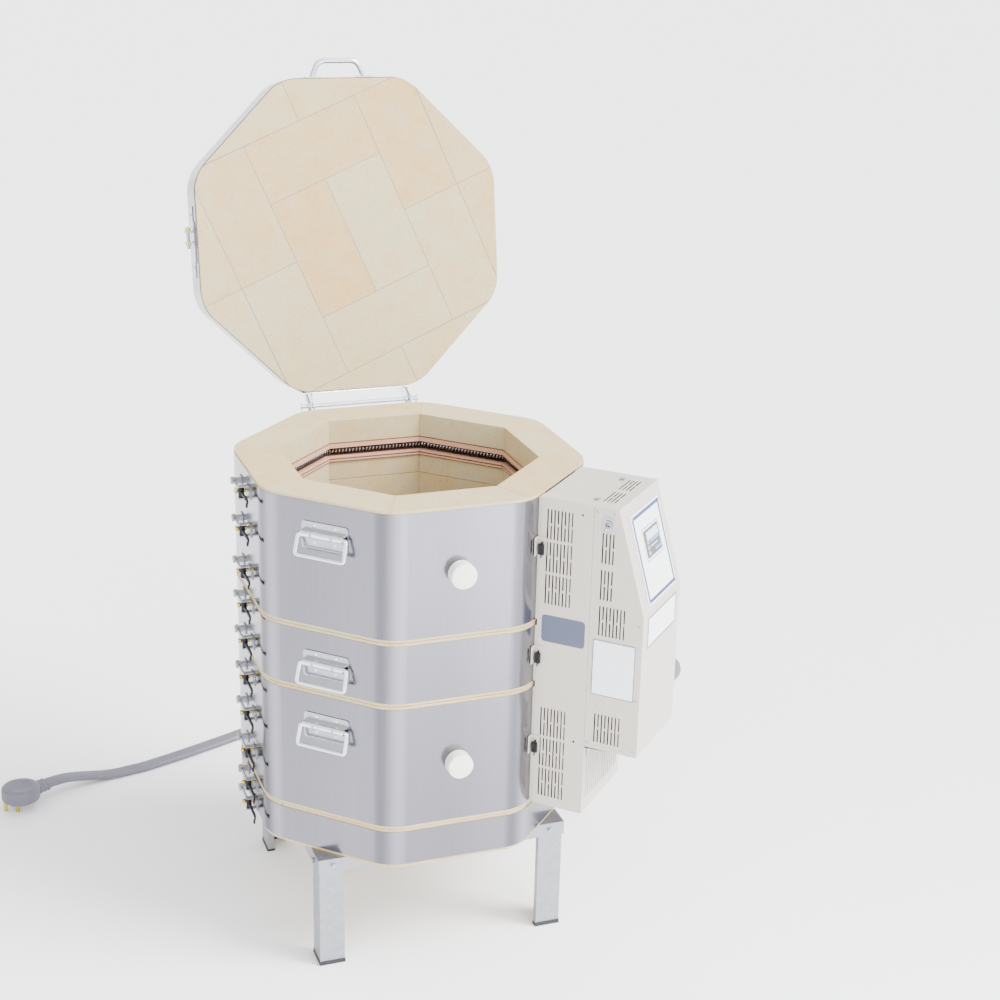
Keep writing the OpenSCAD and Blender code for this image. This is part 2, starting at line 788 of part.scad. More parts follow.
module top_left_bail() bail(7, handle_tops[0]);
module middle_left_bail() bail(7, handle_tops[1]);
module bottom_left_bail() bail(7, handle_tops[2]);
module top_right_bail() bail(3, handle_tops[0]);
module middle_right_bail() bail(3, handle_tops[1]);
module bottom_right_bail() bail(3, handle_tops[2]);

/* Latches */

// Each bracket is a yoke round the lever's pin, and each keeper a block on the draw rod
module latch_brackets() color("#c4c5ca") for (drop = latch_tops) at_face(6, 0, seat_gap, rim_z - drop) {
    translate([pin_t, 0, 0]) {
        yoke_h = hub_h + 2 * yoke_t + 2 * run_gap;
        block(3 * hub_d, sheet_t, yoke_h);
        for (s = [-1, 1]) translate([0, -sheet_t / 2, s * (yoke_h - yoke_t) / 2])
            block(hub_d, pin_n + hub_d / 2, yoke_t);
        translate([0, -pin_n, 0]) cylinder(d = pin_d, h = yoke_h + yoke_t, center = true);
    }
    translate([pin_t - keeper_t, 0, 0]) difference() {
        union() {
            block(2 * hub_d, sheet_t, hub_h);
            translate([0, -sheet_t / 2, 0]) block(hub_d, pin_n + draw_d, hub_h - 2 * yoke_t);
        }
        translate([0, -pin_n, 0]) bar_x(draw_d + 2 * run_gap, 3 * hub_d);
    }
}

module latch_draw_rods() color("#c9a63c") for (drop = latch_tops)
    at_face(6, pin_t, seat_gap, rim_z - drop) translate([0, -pin_n, 0]) {
        end = keeper_t + hub_d / 2 + seat_gap + nut_l;
        translate([-(barrel_t + end) / 2, 0, 0]) bar_x(draw_d, end - barrel_t);
        translate([-barrel_t, barrel_l / 2, 0]) peg(barrel_d, barrel_l);
        translate([nut_l / 2 - end, 0, 0]) rotate([0, 90, 0])
            cylinder(d = nut_d, h = nut_l, center = true, $fn = 6);
    }

module latch_lever(i) color("#1f1f22") at_face(6, pin_t, seat_gap, rim_z - latch_tops[i - 1])
    translate([0, -pin_n, 0]) difference() {
        union() {
            cylinder(d = hub_d, h = hub_h, center = true);
            linear_extrude(height = lever_w, center = true) polygon([
                [0, -lever_t / 2], [0.75 * lever_l, -lever_t / 2],
                [lever_l, -lever_t / 2 - lever_l / 9], [lever_l, lever_t / 2 - lever_l / 9],
                [0.75 * lever_l, lever_t / 2], [0, lever_t / 2]
            ]);
        }
        cylinder(d = pin_d + 2 * run_gap, h = hub_h + 2 * over, center = true);
    }

module latch_lever_1() latch_lever(1);
module latch_lever_2() latch_lever(2);
module latch_lever_3() latch_lever(3);
module latch_lever_4() latch_lever(4);
module latch_lever_5() latch_lever(5);
module latch_lever_6() latch_lever(6);
module latch_lever_7() latch_lever(7);
module latch_lever_8() latch_lever(8);
module latch_lever_9() latch_lever(9);
module latch_lever_10() latch_lever(10);

/* Control box */

// Extrudes an outline of u and z along v, centred, on the control box's face
module along_v(w) on_face(1) mirror([0, 1, 0]) rotate([90, 0, 90]) translate([0, 0, -w / 2])
    linear_extrude(height = w) children();

// Puts a child at v, u and z on the control box's face, with outwards as -Y
module at_box(v, u, z) on_face(1) translate([v, -u, z]) children();

// Half of a slot's length when its middle is left whole
half_slot = (slot_h - slot_break) / 2;

// A block of louvres through the box sides named, every other column broken in its middle
module louvres(u, top, cols, sides) for (c = [0:cols - 1], s = sides)
    at_box(s * box_w / 2, u + slot_w / 2 + c * slot_pitch, box_top - top - slot_h / 2)
        if (c % 2 == 0) cube([4 * sheet_t, slot_w, slot_h], center = true);
        else for (e = [-1, 1]) translate([0, 0, e * (slot_h - half_slot) / 2])
            cube([4 * sheet_t, slot_w, half_slot], center = true);

// Two blocks of louvres through the front box's top
module top_slots() for (c = [0:narrow_cols - 1], s = [-1, 1])
    at_box(s * (slot_h / 2 + 3 * slot_w), seam_u + top_slot_u + slot_w / 2 + c * slot_pitch, box_top)
        if (c % 2 == 0) cube([slot_h, slot_w, 4 * sheet_t], center = true);
        else for (e = [-1, 1]) translate([e * (slot_h - half_slot) / 2, 0, 0])
            cube([half_slot, slot_w, 4 * sheet_t], center = true);

module rear_box() color("#d8d3cc") difference() {
    along_v(box_w) polygon([
        [rear_u, rear_bottom], [seam_u, rear_bottom], [seam_u, box_top], [rear_u, box_top]
    ]);
    along_v(box_w - 2 * sheet_t) polygon([
        [rear_u + sheet_t, rear_bottom + sheet_t], [seam_u - sheet_t, rear_bottom + sheet_t],
        [seam_u - sheet_t, box_top - sheet_t], [rear_u + sheet_t, box_top - sheet_t]
    ]);
    lip = 4 * sheet_t;
    along_v(box_w - 2 * lip) polygon([
        [seam_u - sheet_t - over, front_bottom + lip], [seam_u + over, front_bottom + lip],
        [seam_u + over, box_top - lip], [seam_u - sheet_t - over, box_top - lip]
    ]);
    for (t = rear_slot_tops, b = [0:2])
        louvres(seam_u + rear_slot_u, t + b * rear_band_pitch, slot_cols, [-1, 1]);
    low_slots();
    for (z = row_z, t = [-1, 1]) at_box(t * terminal_t, rear_u - over, z) rotate([90, 0, 0])
        cylinder(d = bushing_d + 2 * run_gap, h = sheet_t + 2 * over);
    at_box(0, rear_u - over, probe_z) rotate([90, 0, 0])
        cylinder(d = probe_d + 2 * run_gap, h = sheet_t + 2 * over);
    for (h = side_holes) at_box(0, seam_u + h[0], box_top - h[1])
        rotate([0, 90, 0]) cylinder(d = side_hole_d, h = box_w + 2 * over, center = true);
    at_box(box_w / 2, gland_u, gland_z)
        rotate([0, 90, 0]) cylinder(d = gland_d + 2 * run_gap, h = 4 * over, center = true);
}

// Upright slots low on the rear box's front, below the front box
module low_slots() for (i = [0:2 * slot_cols - 1])
    at_box((i - slot_cols + 0.5) * 1.5 * slot_pitch, seam_u, (front_bottom + rear_bottom) / 2)
        cube(
            [slot_w, 2 * sheet_t + 2 * over, front_bottom - rear_bottom - 2 * low_slot_edge],
            center = true
        );

// The front box's side outline, drawn in by a wall
module front_outline(t, back) polygon([
    [back, front_bottom + t], [seam_u + front_d - t, front_bottom + t],
    [seam_u + front_d - t, box_top - slope_h - t * tan(slope_a / 2)],
    [seam_u + front_top_d - t / cos(slope_a) + t * tan(slope_a), box_top - t],
    [back, box_top - t]
]);

module front_box() color("#dcd7d0") {
    difference() {
        along_v(box_w) front_outline(0, seam_u + front_gap);
        along_v(box_w - 2 * sheet_t) front_outline(sheet_t, seam_u - over);
        for (t = narrow_tops) louvres(seam_u + front_slot_u, t, narrow_cols, [-1, 1]);
        louvres(seam_u + front_slot_u, wide_tops[0], slot_cols, [-1, 1]);
        louvres(seam_u + front_slot_u, wide_tops[1], slot_cols, [-1]);
        top_slots();
        at_box(-box_w / 2, seam_u + knock_place[0], box_top - knock_place[1]) rotate([0, 90, 0])
            cylinder(d = knock_d, h = 2 * sheet_t / 3, center = true);
        at_box(-box_w / 2, seam_u + switch_plate[0], box_top - switch_plate[1])
            rotate([0, 90, 0]) cylinder(d = toggle_ball + 4 * run_gap, h = 4 * over, center = true);
        on_slope(screen_v, screen_s, -over)
            cube([screen_w + 2 * seat_gap, 4 * over + 2 * sheet_t, screen_h + 2 * seat_gap], center = true);
    }
    for (s = [-1, 1]) at_box(s * box_w / 4, box_pin_u, box_pin_z) difference() {
        union() {
            bar_x(knuckle_d, knuckle_l);
            translate([-knuckle_l / 2, -knuckle_d, box_pin_d - sheet_t])
                cube([knuckle_l, knuckle_d, 1.5 * sheet_t]);
        }
        bar_x(box_pin_d + 2 * run_gap, knuckle_l + 2 * over);
    }
}

// Two fixed knuckles beside each moving one, on the rear box, and the pin through them
module box_hinge() color("#b2b4b8") for (s = [-1, 1]) at_box(s * box_w / 4, box_pin_u, box_pin_z) {
    l = knuckle_l / 2;
    bar_x(box_pin_d, 2 * knuckle_l + 2 * seat_gap);
    for (e = [-1, 1]) translate([e * (knuckle_l / 2 + seat_gap + l / 2), 0, 0]) {
        bar_x(knuckle_d, l);
        translate([-l / 2, box_pin_d - seat_gap - sheet_t, -2 * knuckle_d])
            cube([l, sheet_t, 2 * knuckle_d]);
    }
}

// Puts a child on the slope: v across, s down the slope from its top edge, n outwards
module on_slope(v, s, n) on_face(1)
    translate([v, -(seam_u + front_top_d + s * sin(slope_a)), box_top - s * cos(slope_a)])
        rotate([-slope_a, 0, 0]) translate([0, -n, 0]) children();

module faceplate() color("#eceef0") difference() {
    on_slope(face_v, face_s, seat_gap) block(face_w, face_t, face_h);
    on_slope(screen_v, screen_s, 0)
        cube([screen_w + 2 * seat_gap, 4 * face_t, screen_h + 2 * seat_gap], center = true);
    for (x = [-1, 1], y = [-1, 1])
        on_slope(face_v + x * (face_w / 2 - screw_d), face_s + y * (face_h / 2 - screw_d), -over)
            peg(screw_d / 2 + 2 * run_gap, 2 * over + 2 * face_t);
}

module touch_screen() color("#23262b") on_slope(screen_v, screen_s, -sheet_t)
    block(screen_w, sheet_t + face_t + 2 * seat_gap, screen_h);

module faceplate_screws() color("#c7c8cc") for (x = [-1, 1], y = [-1, 1])
    on_slope(face_v + x * (face_w / 2 - screw_d), face_s + y * (face_h / 2 - screw_d), seat_gap + face_t) {
        peg(screw_d, screw_d / 3);
        rotate([-90, 0, 0]) cylinder(d = screw_d / 2, h = face_t + seat_gap / 2);
    }

module controller_board() color("#2f6b45") on_slope(screen_v, screen_s, -sheet_t - seat_gap) {
    board_t = 1.6;
    spacer = 10;
    translate([0, spacer + board_t, 0]) block(1.3 * screen_w, board_t, 1.5 * screen_h);
    for (x = [-1, 1], y = [-1, 1]) translate([x * screen_w / 1.8, spacer, y * screen_h / 1.6])
        peg(screw_d, spacer);
    translate([0, 2 * (spacer + board_t), -screen_h / 4])
        block(screen_w / 2, spacer + board_t, screen_h / 3);
}

// Bare plates on the box, where the photographed box carries printed ones
module side_plate(p) at_box(-box_w / 2 - seat_gap, seam_u + p[0], box_top - p[1])
    translate([-plate_t, -p[2] / 2, -p[3] / 2]) cube([plate_t, p[2], p[3]]);

// Stays on the fixed rear box when the front box swings down
module rear_plate() color("#6d7484") side_plate(grey_plate);

module side_plates() color("#aeb6c4") {
    side_plate(white_plate);
    at_box(low_plate[0], seam_u + front_d + seat_gap, box_top - low_plate[1])
        block(low_plate[2], plate_t, low_plate[3]);
    at_box(-box_w / 2 - seat_gap, seam_u + switch_plate[0], box_top - switch_plate[1]) difference() {
        translate([-plate_t, -switch_plate[2] / 2, -switch_plate[3] / 2])
            cube([plate_t, switch_plate[2], switch_plate[3]]);
        rotate([0, 90, 0]) cylinder(d = toggle_ball + 2 * run_gap, h = 4 * over, center = true);
    }
}

module switch_toggle() color("#d8d9dd")
    at_box(-box_w / 2, seam_u + switch_plate[0], box_top - switch_plate[1]) {
        sphere(d = toggle_ball);
        rotate([0, -90 - toggle_a, 0]) cylinder(d1 = toggle_d / 2, d2 = toggle_d, h = toggle_l);
    }

socket_d = 50;
socket_l = 58;
socket_place = [63.8, 367];

module accessory_socket() color("#85838c")
    at_box(box_w / 2 + seat_gap, seam_u + socket_place[0], box_top - socket_place[1]) rotate([0, 90, 0]) {
        cylinder(d = socket_d + 6, h = 4);
        cylinder(d = socket_d, h = socket_l);
    }

// Strips between the jackets and the rear box, and three angle brackets beside it
bracket_h = 32;
bracket_w = 13;
bracket_tops = [90, 286, 454];

module box_brackets() color("#c2c1bf") {
    for (s = [-1, 1], ring = [0:2]) {
        h = ring_courses[ring] * course_h - 2 * bare_edge - 2 * mortar;
        at_box(s * (box_w / 2 - strip_w / 2), rear_u - seat_gap, ring_z[ring] + bare_edge + mortar)
            translate([-strip_w / 2, 0, 0]) cube([strip_w, strip_t, h]);
    }
    gap = rear_u - ap - seat_gap;
    for (drop = bracket_tops) at_box(-box_w / 2 - seat_gap, rear_u, rim_z - drop) {
        translate([-sheet_t, -bracket_w, -bracket_h / 2]) cube([sheet_t, bracket_w + gap, bracket_h]);
        translate([-bracket_w, gap - sheet_t, -bracket_h / 2]) cube([bracket_w, sheet_t, bracket_h]);
        for (z = [-1, 1]) translate([-sheet_t, -bracket_w / 2, z * bracket_h / 3]) rotate([0, -90, 0])
            cylinder(d = screw_d / 2, h = 1.2);
    }
}

relay_gap = 1;
relay_air = 20;
relay_w = box_w / 2 - sheet_t - relay_air - terminal_t - bushing_d - relay_gap;
relay_h = 56;
relay_d = 32;
relay_places = [130, 270, 410];

module power_relays() color("#3a3c40") for (drop = relay_places)
    at_box(box_w / 2 - sheet_t - relay_w, rear_u + sheet_t + seat_gap, rim_z - drop) {
        block(relay_w, relay_d, relay_h);
        for (x = [-1, 1], z = [-1, 1]) translate([x * relay_w / 4, -relay_d, z * relay_h / 3])
            peg(screw_d, screw_d);
    }

/* Power cord */

gland_u = 338;
gland_z = 355.7;
gland_d = 40;
gland_l = 41;

// The gland narrows from its collar to the cord's own section
module cord_gland() color("#3d3d40")
    at_box(box_w / 2 - 2 * sheet_t, gland_u, gland_z) rotate([0, 90, 0]) {
        cylinder(d = gland_d, h = 5 * sheet_t);
        translate([0, 0, 5 * sheet_t]) cylinder(d1 = gland_d, d2 = cord_w + 2, h = gland_l - 5 * sheet_t);
    }

// Route of the cord, x, y and z: down from the gland, round the back and out to the plug
cord_route = [
    [328, -150, 356], [354, -124, 354], [381, -95, 343], [399, -62, 321], [407, -27, 290],
    [408, 6, 252], [407, 36, 210], [405, 64, 166], [402, 92, 123], [399, 124, 84],
    [396, 161, 50], [394, 204, 25], [392, 252, 11], [391, 305, 6.5], [390, 365, 6.5],
    [389, 430, 6.5], [388, 500, 6.5], [381, 560, 6.5], [364, 618, 6.5], [337, 672, 6.5],
    [299, 719, 6.5], [252, 755, 6.5], [197, 777, 6.5], [138, 784, 6.5], [78, 776, 6.5],
    [18, 754, 6.5], [-45, 726, 6.5], [-110, 697, 6.5], [-176, 668, 6.5], [-242, 640, 6.5],
    [-315, 611, 6.5], [-391, 584, 6.5], [-420.5, 577.5, 6.5], [-449.9, 571.1, 6.7],
    [-479.4, 564.4, 10.1], [-508.6, 557, 16.5], [-537.5, 548.3, 23.7], [-565.8, 538, 29.6],
    [-593.3, 525.5, 32], [-604, 520, 32]
];
cord_sides = 10;

// Level direction square to the route, so that the flat cord lies on its broad side
function cord_side(i) =
    let (
        n = len(cord_route) - 1,
        run = cord_route[min(n, i + 1)] - cord_route[max(0, i - 1)]
    )
    unit([-run[1], run[0], 0]);

function cord_ring(i) =
    let (
        n = len(cord_route) - 1,
        here = cord_route[i],
        before = i == 0 ? here - [1, 1, 0] : cord_route[i - 1],
        after = i == n ? 2 * here - cord_route[n - 1] : cord_route[i + 1]
    )
    tube_ring(before, here, after, i == 0 ? [-1, 1, 0] : cord_side(i), cord_w, cord_t, cord_sides);

module power_cord() color("#85838c")
    tube_skin([for (i = [0:len(cord_route) - 1]) cord_ring(i)], cord_sides);

// The plug lies on its blades, with its neck towards the cord
plug_place = [-657, 493];
plug_lift = 22;
plug_h = 28;
neck_l = 59;
neck_w = 40;
neck_h = 18;
neck_lift = 1;
neck_a = 27;
blade_w = 6.5;
blade_t = 2.2;
blades = [[-31, -5, -30], [-9, -14, -30], [-8, 14, 60]];

module cord_plug() color("#85838c") translate([plug_place[0], plug_place[1], 0]) {
    translate([0, 0, plug_lift]) cylinder(d = plug_d, h = plug_h);
    rotate([0, 0, neck_a]) translate([0, -neck_w / 2, plug_lift + neck_lift]) cube([neck_l, neck_w, neck_h]);
    for (b = blades) translate([b[0], b[1], 0]) rotate([0, 0, b[2]]) color("#c9a040")
        translate([-blade_w / 2, -blade_t / 2, 0]) cube([blade_w, blade_t, plug_lift + blade_w]);
}

at_middle() leg_caps();
at_middle() stand_legs();
at_middle() stand_frame();
at_middle() stand_bolts();
at_middle() floor_slab();
at_middle() floor_jacket();
at_middle() bottom_ring_bricks();
at_middle() bottom_ring_jacket();
at_middle() middle_ring_bricks();
at_middle() middle_ring_jacket();
at_middle() top_ring_bricks();
at_middle() top_ring_jacket();
at_middle() element_holders();
at_middle() top_heating_coil();
at_middle() lower_heating_coils();
at_middle() element_terminals();
at_middle() thermocouple();
at_middle() body_hinge_bracket();
at_middle() hinge_rod();
at_middle() handle_plates();
at_middle() latch_brackets();
at_middle() latch_draw_rods();
at_middle() box_brackets();
at_middle() rear_box();
at_middle() power_relays();
at_middle() cord_gland();
at_middle() power_cord();
at_middle() cord_plug();
at_middle() box_hinge();
at_middle() lid_slab();
at_middle() lid_band();
at_middle() lid_clamp();
at_middle() lid_handle();
at_middle() lid_hinge_leaf();
at_middle() front_box();
at_middle() faceplate();
at_middle() touch_screen();
at_middle() controller_board();
at_middle() faceplate_screws();
at_middle() rear_plate();
at_middle() side_plates();
at_middle() accessory_socket();
at_middle() switch_toggle();
at_middle() upper_peephole_plug();
at_middle() lower_peephole_plug();
at_middle() top_left_bail();
at_middle() middle_left_bail();
at_middle() bottom_left_bail();
at_middle() top_right_bail();
at_middle() middle_right_bail();
at_middle() bottom_right_bail();
at_middle() latch_lever_1();
at_middle() latch_lever_2();
at_middle() latch_lever_3();
at_middle() latch_lever_4();
at_middle() latch_lever_5();
at_middle() latch_lever_6();
at_middle() latch_lever_7();
at_middle() latch_lever_8();
at_middle() latch_lever_9();
at_middle() latch_lever_10();
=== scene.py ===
"""Looks of a sectional electric kiln, laid out as an add-on and run as a script.

Every piece is worked out in metres about the kiln's own upright axis, with the front face along
-Y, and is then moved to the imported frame. The steel faces are numbered anticlockwise from the
front, seen from above: 1 carries the control box, 3 and 7 the handles, 4 the hinge, 6 the latches.
"""

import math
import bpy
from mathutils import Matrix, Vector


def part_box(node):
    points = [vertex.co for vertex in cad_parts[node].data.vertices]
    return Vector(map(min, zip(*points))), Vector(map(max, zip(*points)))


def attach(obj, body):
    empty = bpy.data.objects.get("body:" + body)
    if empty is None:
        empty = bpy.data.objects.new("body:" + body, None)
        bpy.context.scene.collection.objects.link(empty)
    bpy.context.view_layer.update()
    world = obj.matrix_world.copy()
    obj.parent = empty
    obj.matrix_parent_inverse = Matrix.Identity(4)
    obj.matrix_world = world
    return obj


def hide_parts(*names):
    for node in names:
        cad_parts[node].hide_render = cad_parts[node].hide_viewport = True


bl_info = {
    "name": "Sectional Kiln",
    "version": (1, 0, 0),
    "blender": (4, 5, 0),
    "location": "View3D > Sidebar > Kiln",
    "description": "Dresses a top-loading kiln in brick, stainless steel, zinc, paint and ceramic",
    "category": "Object",
}

import bmesh
import bpy
import numpy as np
from bpy.props import FloatProperty, FloatVectorProperty, IntProperty, PointerProperty
from bpy.types import Operator, Panel, PropertyGroup
from mathutils import Matrix, Vector

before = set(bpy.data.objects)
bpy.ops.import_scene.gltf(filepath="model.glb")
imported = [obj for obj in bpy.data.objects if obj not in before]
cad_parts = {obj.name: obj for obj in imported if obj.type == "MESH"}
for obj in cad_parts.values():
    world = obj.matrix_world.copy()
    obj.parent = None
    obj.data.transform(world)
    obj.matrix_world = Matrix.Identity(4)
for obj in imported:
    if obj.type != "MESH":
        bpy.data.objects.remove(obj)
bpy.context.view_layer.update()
SLAB_LOW, SLAB_HIGH = (np.array(corner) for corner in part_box("floor_slab"))
# The kiln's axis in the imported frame
AXIS = np.array([(SLAB_LOW[0] + SLAB_HIGH[0]) / 2, (SLAB_LOW[1] + SLAB_HIGH[1]) / 2, 0.0])

MM = 0.001
# Room left between a piece and the steel or the brick that it sits on
SEAT = 0.3 * MM
SIDE = math.radians(45)
HALF_SIDE = SIDE / 2
CONTROL_FACE, RIGHT_HANDLE_FACE, LATCH_FACE, LEFT_HANDLE_FACE = 1, 3, 6, 7


# ---------------------------------------------------------------- sizes and colours


def length(name, metres, about):
    return FloatProperty(
        name=name, description=about, default=metres, precision=4, subtype="DISTANCE", unit="LENGTH"
    )


def turn(name, degrees, about):
    return FloatProperty(
        name=name, description=about, default=math.radians(degrees), subtype="ANGLE",
        unit="ROTATION",
    )


def tone(red, green, blue):
    """Linear colour of an eight-bit display colour."""
    c = np.array([red, green, blue]) / 255
    return tuple(np.where(c > 0.04045, ((c + 0.055) / 1.055) ** 2.4, c / 12.92).tolist())


def colour(name, value, about):
    return FloatVectorProperty(
        name=name, description=about, default=value, min=0, max=1, size=3, subtype="COLOR"
    )


class KilnBodySizes(PropertyGroup):
    apothem: length("Apothem", 0.2875, "From the axis to a steel face")
    corner: length("Corner radius", 0.078, "Radius of the jackets' upright corners")
    wall: length("Wall", 0.0762, "Thickness of the brick wall")
    course: length("Course", 0.1143, "Height of one brick course")
    stand: length("Stand", 0.2112, "Height of the stand")
    floor_top: length("Floor top", 0.2842, "Height of the firing chamber's floor")
    jacket: length("Jacket", 0.0007, "Thickness of the stainless jackets")
    bare: length("Bare edge", 0.0055, "Brick left bare beside each jacket")
    joint: length("Brick joint", 0.0010, "Width of the joint between two bricks")
    groove_high: length("Groove height", 0.036, "Height of an element groove")
    groove_deep: length("Groove depth", 0.026, "Depth of an element groove")
    row_drop: length("Row drop", 0.061, "From a course's top down to its element")
    peephole: length("Peephole", 0.030, "Bore of a peephole")
    brick_long: length("Slab brick length", 0.2286, "Long side of the bricks in lid and floor")


class KilnLidSizes(PropertyGroup):
    thick: length("Thickness", 0.0762, "Thickness of the lid slab")
    bare: length("Bare edge", 0.004, "Brick left bare beside the lid band")
    opened: turn("Opened", 100, "Angle at which the open lid rests")
    rod_y: length("Rod behind axis", 0.3126, "From the kiln's axis back to the hinge rod")
    rod_z: length("Rod height", 0.85445, "Height of the hinge rod")
    handle_d: length("Handle bar", 0.010, "Diameter of the lid handle's bar")
    handle_long: length("Handle length", 0.100, "Between the lid handle's feet")
    handle_reach: length("Handle reach", 0.037, "How far the lid handle stands out")


class KilnElementSizes(PropertyGroup):
    coil: length("Coil", 0.013, "Outer diameter of the element coil")
    wire: length("Wire", 0.0022, "Diameter of the element wire")
    curls: IntProperty(name="Curls", description="Curls of one element", default=219, min=8)
    corner: length("Corner radius", 0.030, "Radius at which the coil turns a corner")
    cavity: length("Cavity", 0.018, "Bore of an element holder")
    proud: length("Proud", 0.003, "How far the holders stand out of the wall")
    lip: length("Lip", 0.0092, "Height of a holder's lip above and below its coil")


class KilnBoxSizes(PropertyGroup):
    wide: length("Width", 0.175, "Width of the control box")
    rear_u: length("Back", 0.2913, "From the axis to the rear box's back")
    seam_u: length("Seam", 0.3852, "From the axis to the seam between the two boxes")
    top: length("Top", 0.8509, "Height of the box top")
    front_deep: length("Front depth", 0.0951, "Depth of the front box at its foot")
    front_top_deep: length("Front top depth", 0.0438, "Depth of the front box at its top")
    slope_high: length("Slope height", 0.1793, "Height of the front box's slope")


class KilnFittingSizes(PropertyGroup):
    plate_wide: length("Handle plate width", 0.086, "Width of a handle plate")
    plate_high: length("Handle plate height", 0.047, "Height of a handle plate")
    ridge: length("Ridge", 0.012, "Thickness of the ridge that holds a bail")
    bail: length("Bail", 0.007, "Diameter of a bail's bar")
    bail_drop: length("Bail drop", 0.036, "From a bail's pivot to its grip")
    bail_lean: turn("Bail lean", 18, "How far a bail hangs off the plate")
    lever: length("Lever", 0.068, "Length of a latch lever from its pin")
    draw_rod: length("Draw rod", 0.005, "Diameter of a latch's draw rod")
    knob: length("Plug knob", 0.044, "Diameter of a peephole plug's knob")
    knob_high: length("Plug knob height", 0.022, "Height of a peephole plug's knob")


class KilnCordSizes(PropertyGroup):
    wide: length("Width", 0.030, "Width of the flat cord")
    thick: length("Thickness", 0.012, "Thickness of the flat cord")
    plug: length("Plug", 0.076, "Diameter of the plug body")
    plug_high: length("Plug height", 0.028, "Height of the plug body")
    plug_lift: length("Plug lift", 0.022, "Height of the plug body above the floor")


class KilnFinishes(PropertyGroup):
    brick_pale: colour("Pale brick", tone(186, 174, 137), "Palest brick")
    brick_warm: colour("Warm brick", tone(194, 160, 107), "Warmest brick")
    mortar: colour("Joint", tone(146, 140, 136), "Cement in the joints")
    stainless: colour("Stainless", tone(126, 125, 133), "Jackets and lid band")
    zinc: colour("Zinc", tone(166, 168, 175), "Plated fittings")
    bright: colour("Bright zinc", tone(228, 230, 234), "Polished ridges, bails and rods")
    galvanised: colour("Galvanised", tone(160, 162, 168), "Stand")
    black: colour("Black steel", tone(26, 26, 30), "Latch levers")
    yellow: colour("Yellow passivate", tone(206, 180, 62), "Barrel nuts and end nuts")
    paint: colour("Paint", tone(188, 181, 171), "Control box")
    panel: colour("Panel", tone(236, 238, 241), "Faceplate and white plates")
    line: colour("Panel line", tone(44, 62, 112), "Borders of the plates")
    grey_plate: colour("Grey plate", tone(74, 82, 104), "Rounded plate on the box")
    holder: colour("Holder", tone(206, 158, 130), "Element holders")
    wire: colour("Element wire", tone(206, 206, 214), "Heating coils")
    ceramic: colour("White ceramic", tone(240, 238, 228), "Plugs and bushings")
    cord: colour("Cord", tone(98, 96, 108), "Cord, plug and socket")


class KilnStage(PropertyGroup):
    camera_x: length("Camera X", -0.88968, "From the kiln's axis")
    camera_y: length("Camera Y", -2.84609, "From the kiln's axis")
    camera_z: length("Camera Z", 1.83923, "Height above the floor")
    heading: turn("Heading", 20.46, "Turn of the view from +Y towards +X")
    tilt: turn("Tilt", 19.74, "How far the view looks down")
    roll: turn("Roll", 1.5, "Turn of the picture about the view")
    lens: FloatProperty(name="Lens", description="Focal length", default=64.9026, unit="CAMERA")
    floor: colour("Floor", (0.94, 0.945, 0.96), "Plain pale floor")


def sizes(group):
    return getattr(bpy.context.scene, "kiln_" + group)


def wall_face():
    """Distance from the axis to the inner face of the brick wall."""
    b = sizes("body")
    return b.apothem - b.jacket - SEAT - b.wall


def toned(base, share):
    """The colour with each channel times a share."""
    return tuple(share * c for c in base)


# ---------------------------------------------------------------- finishes


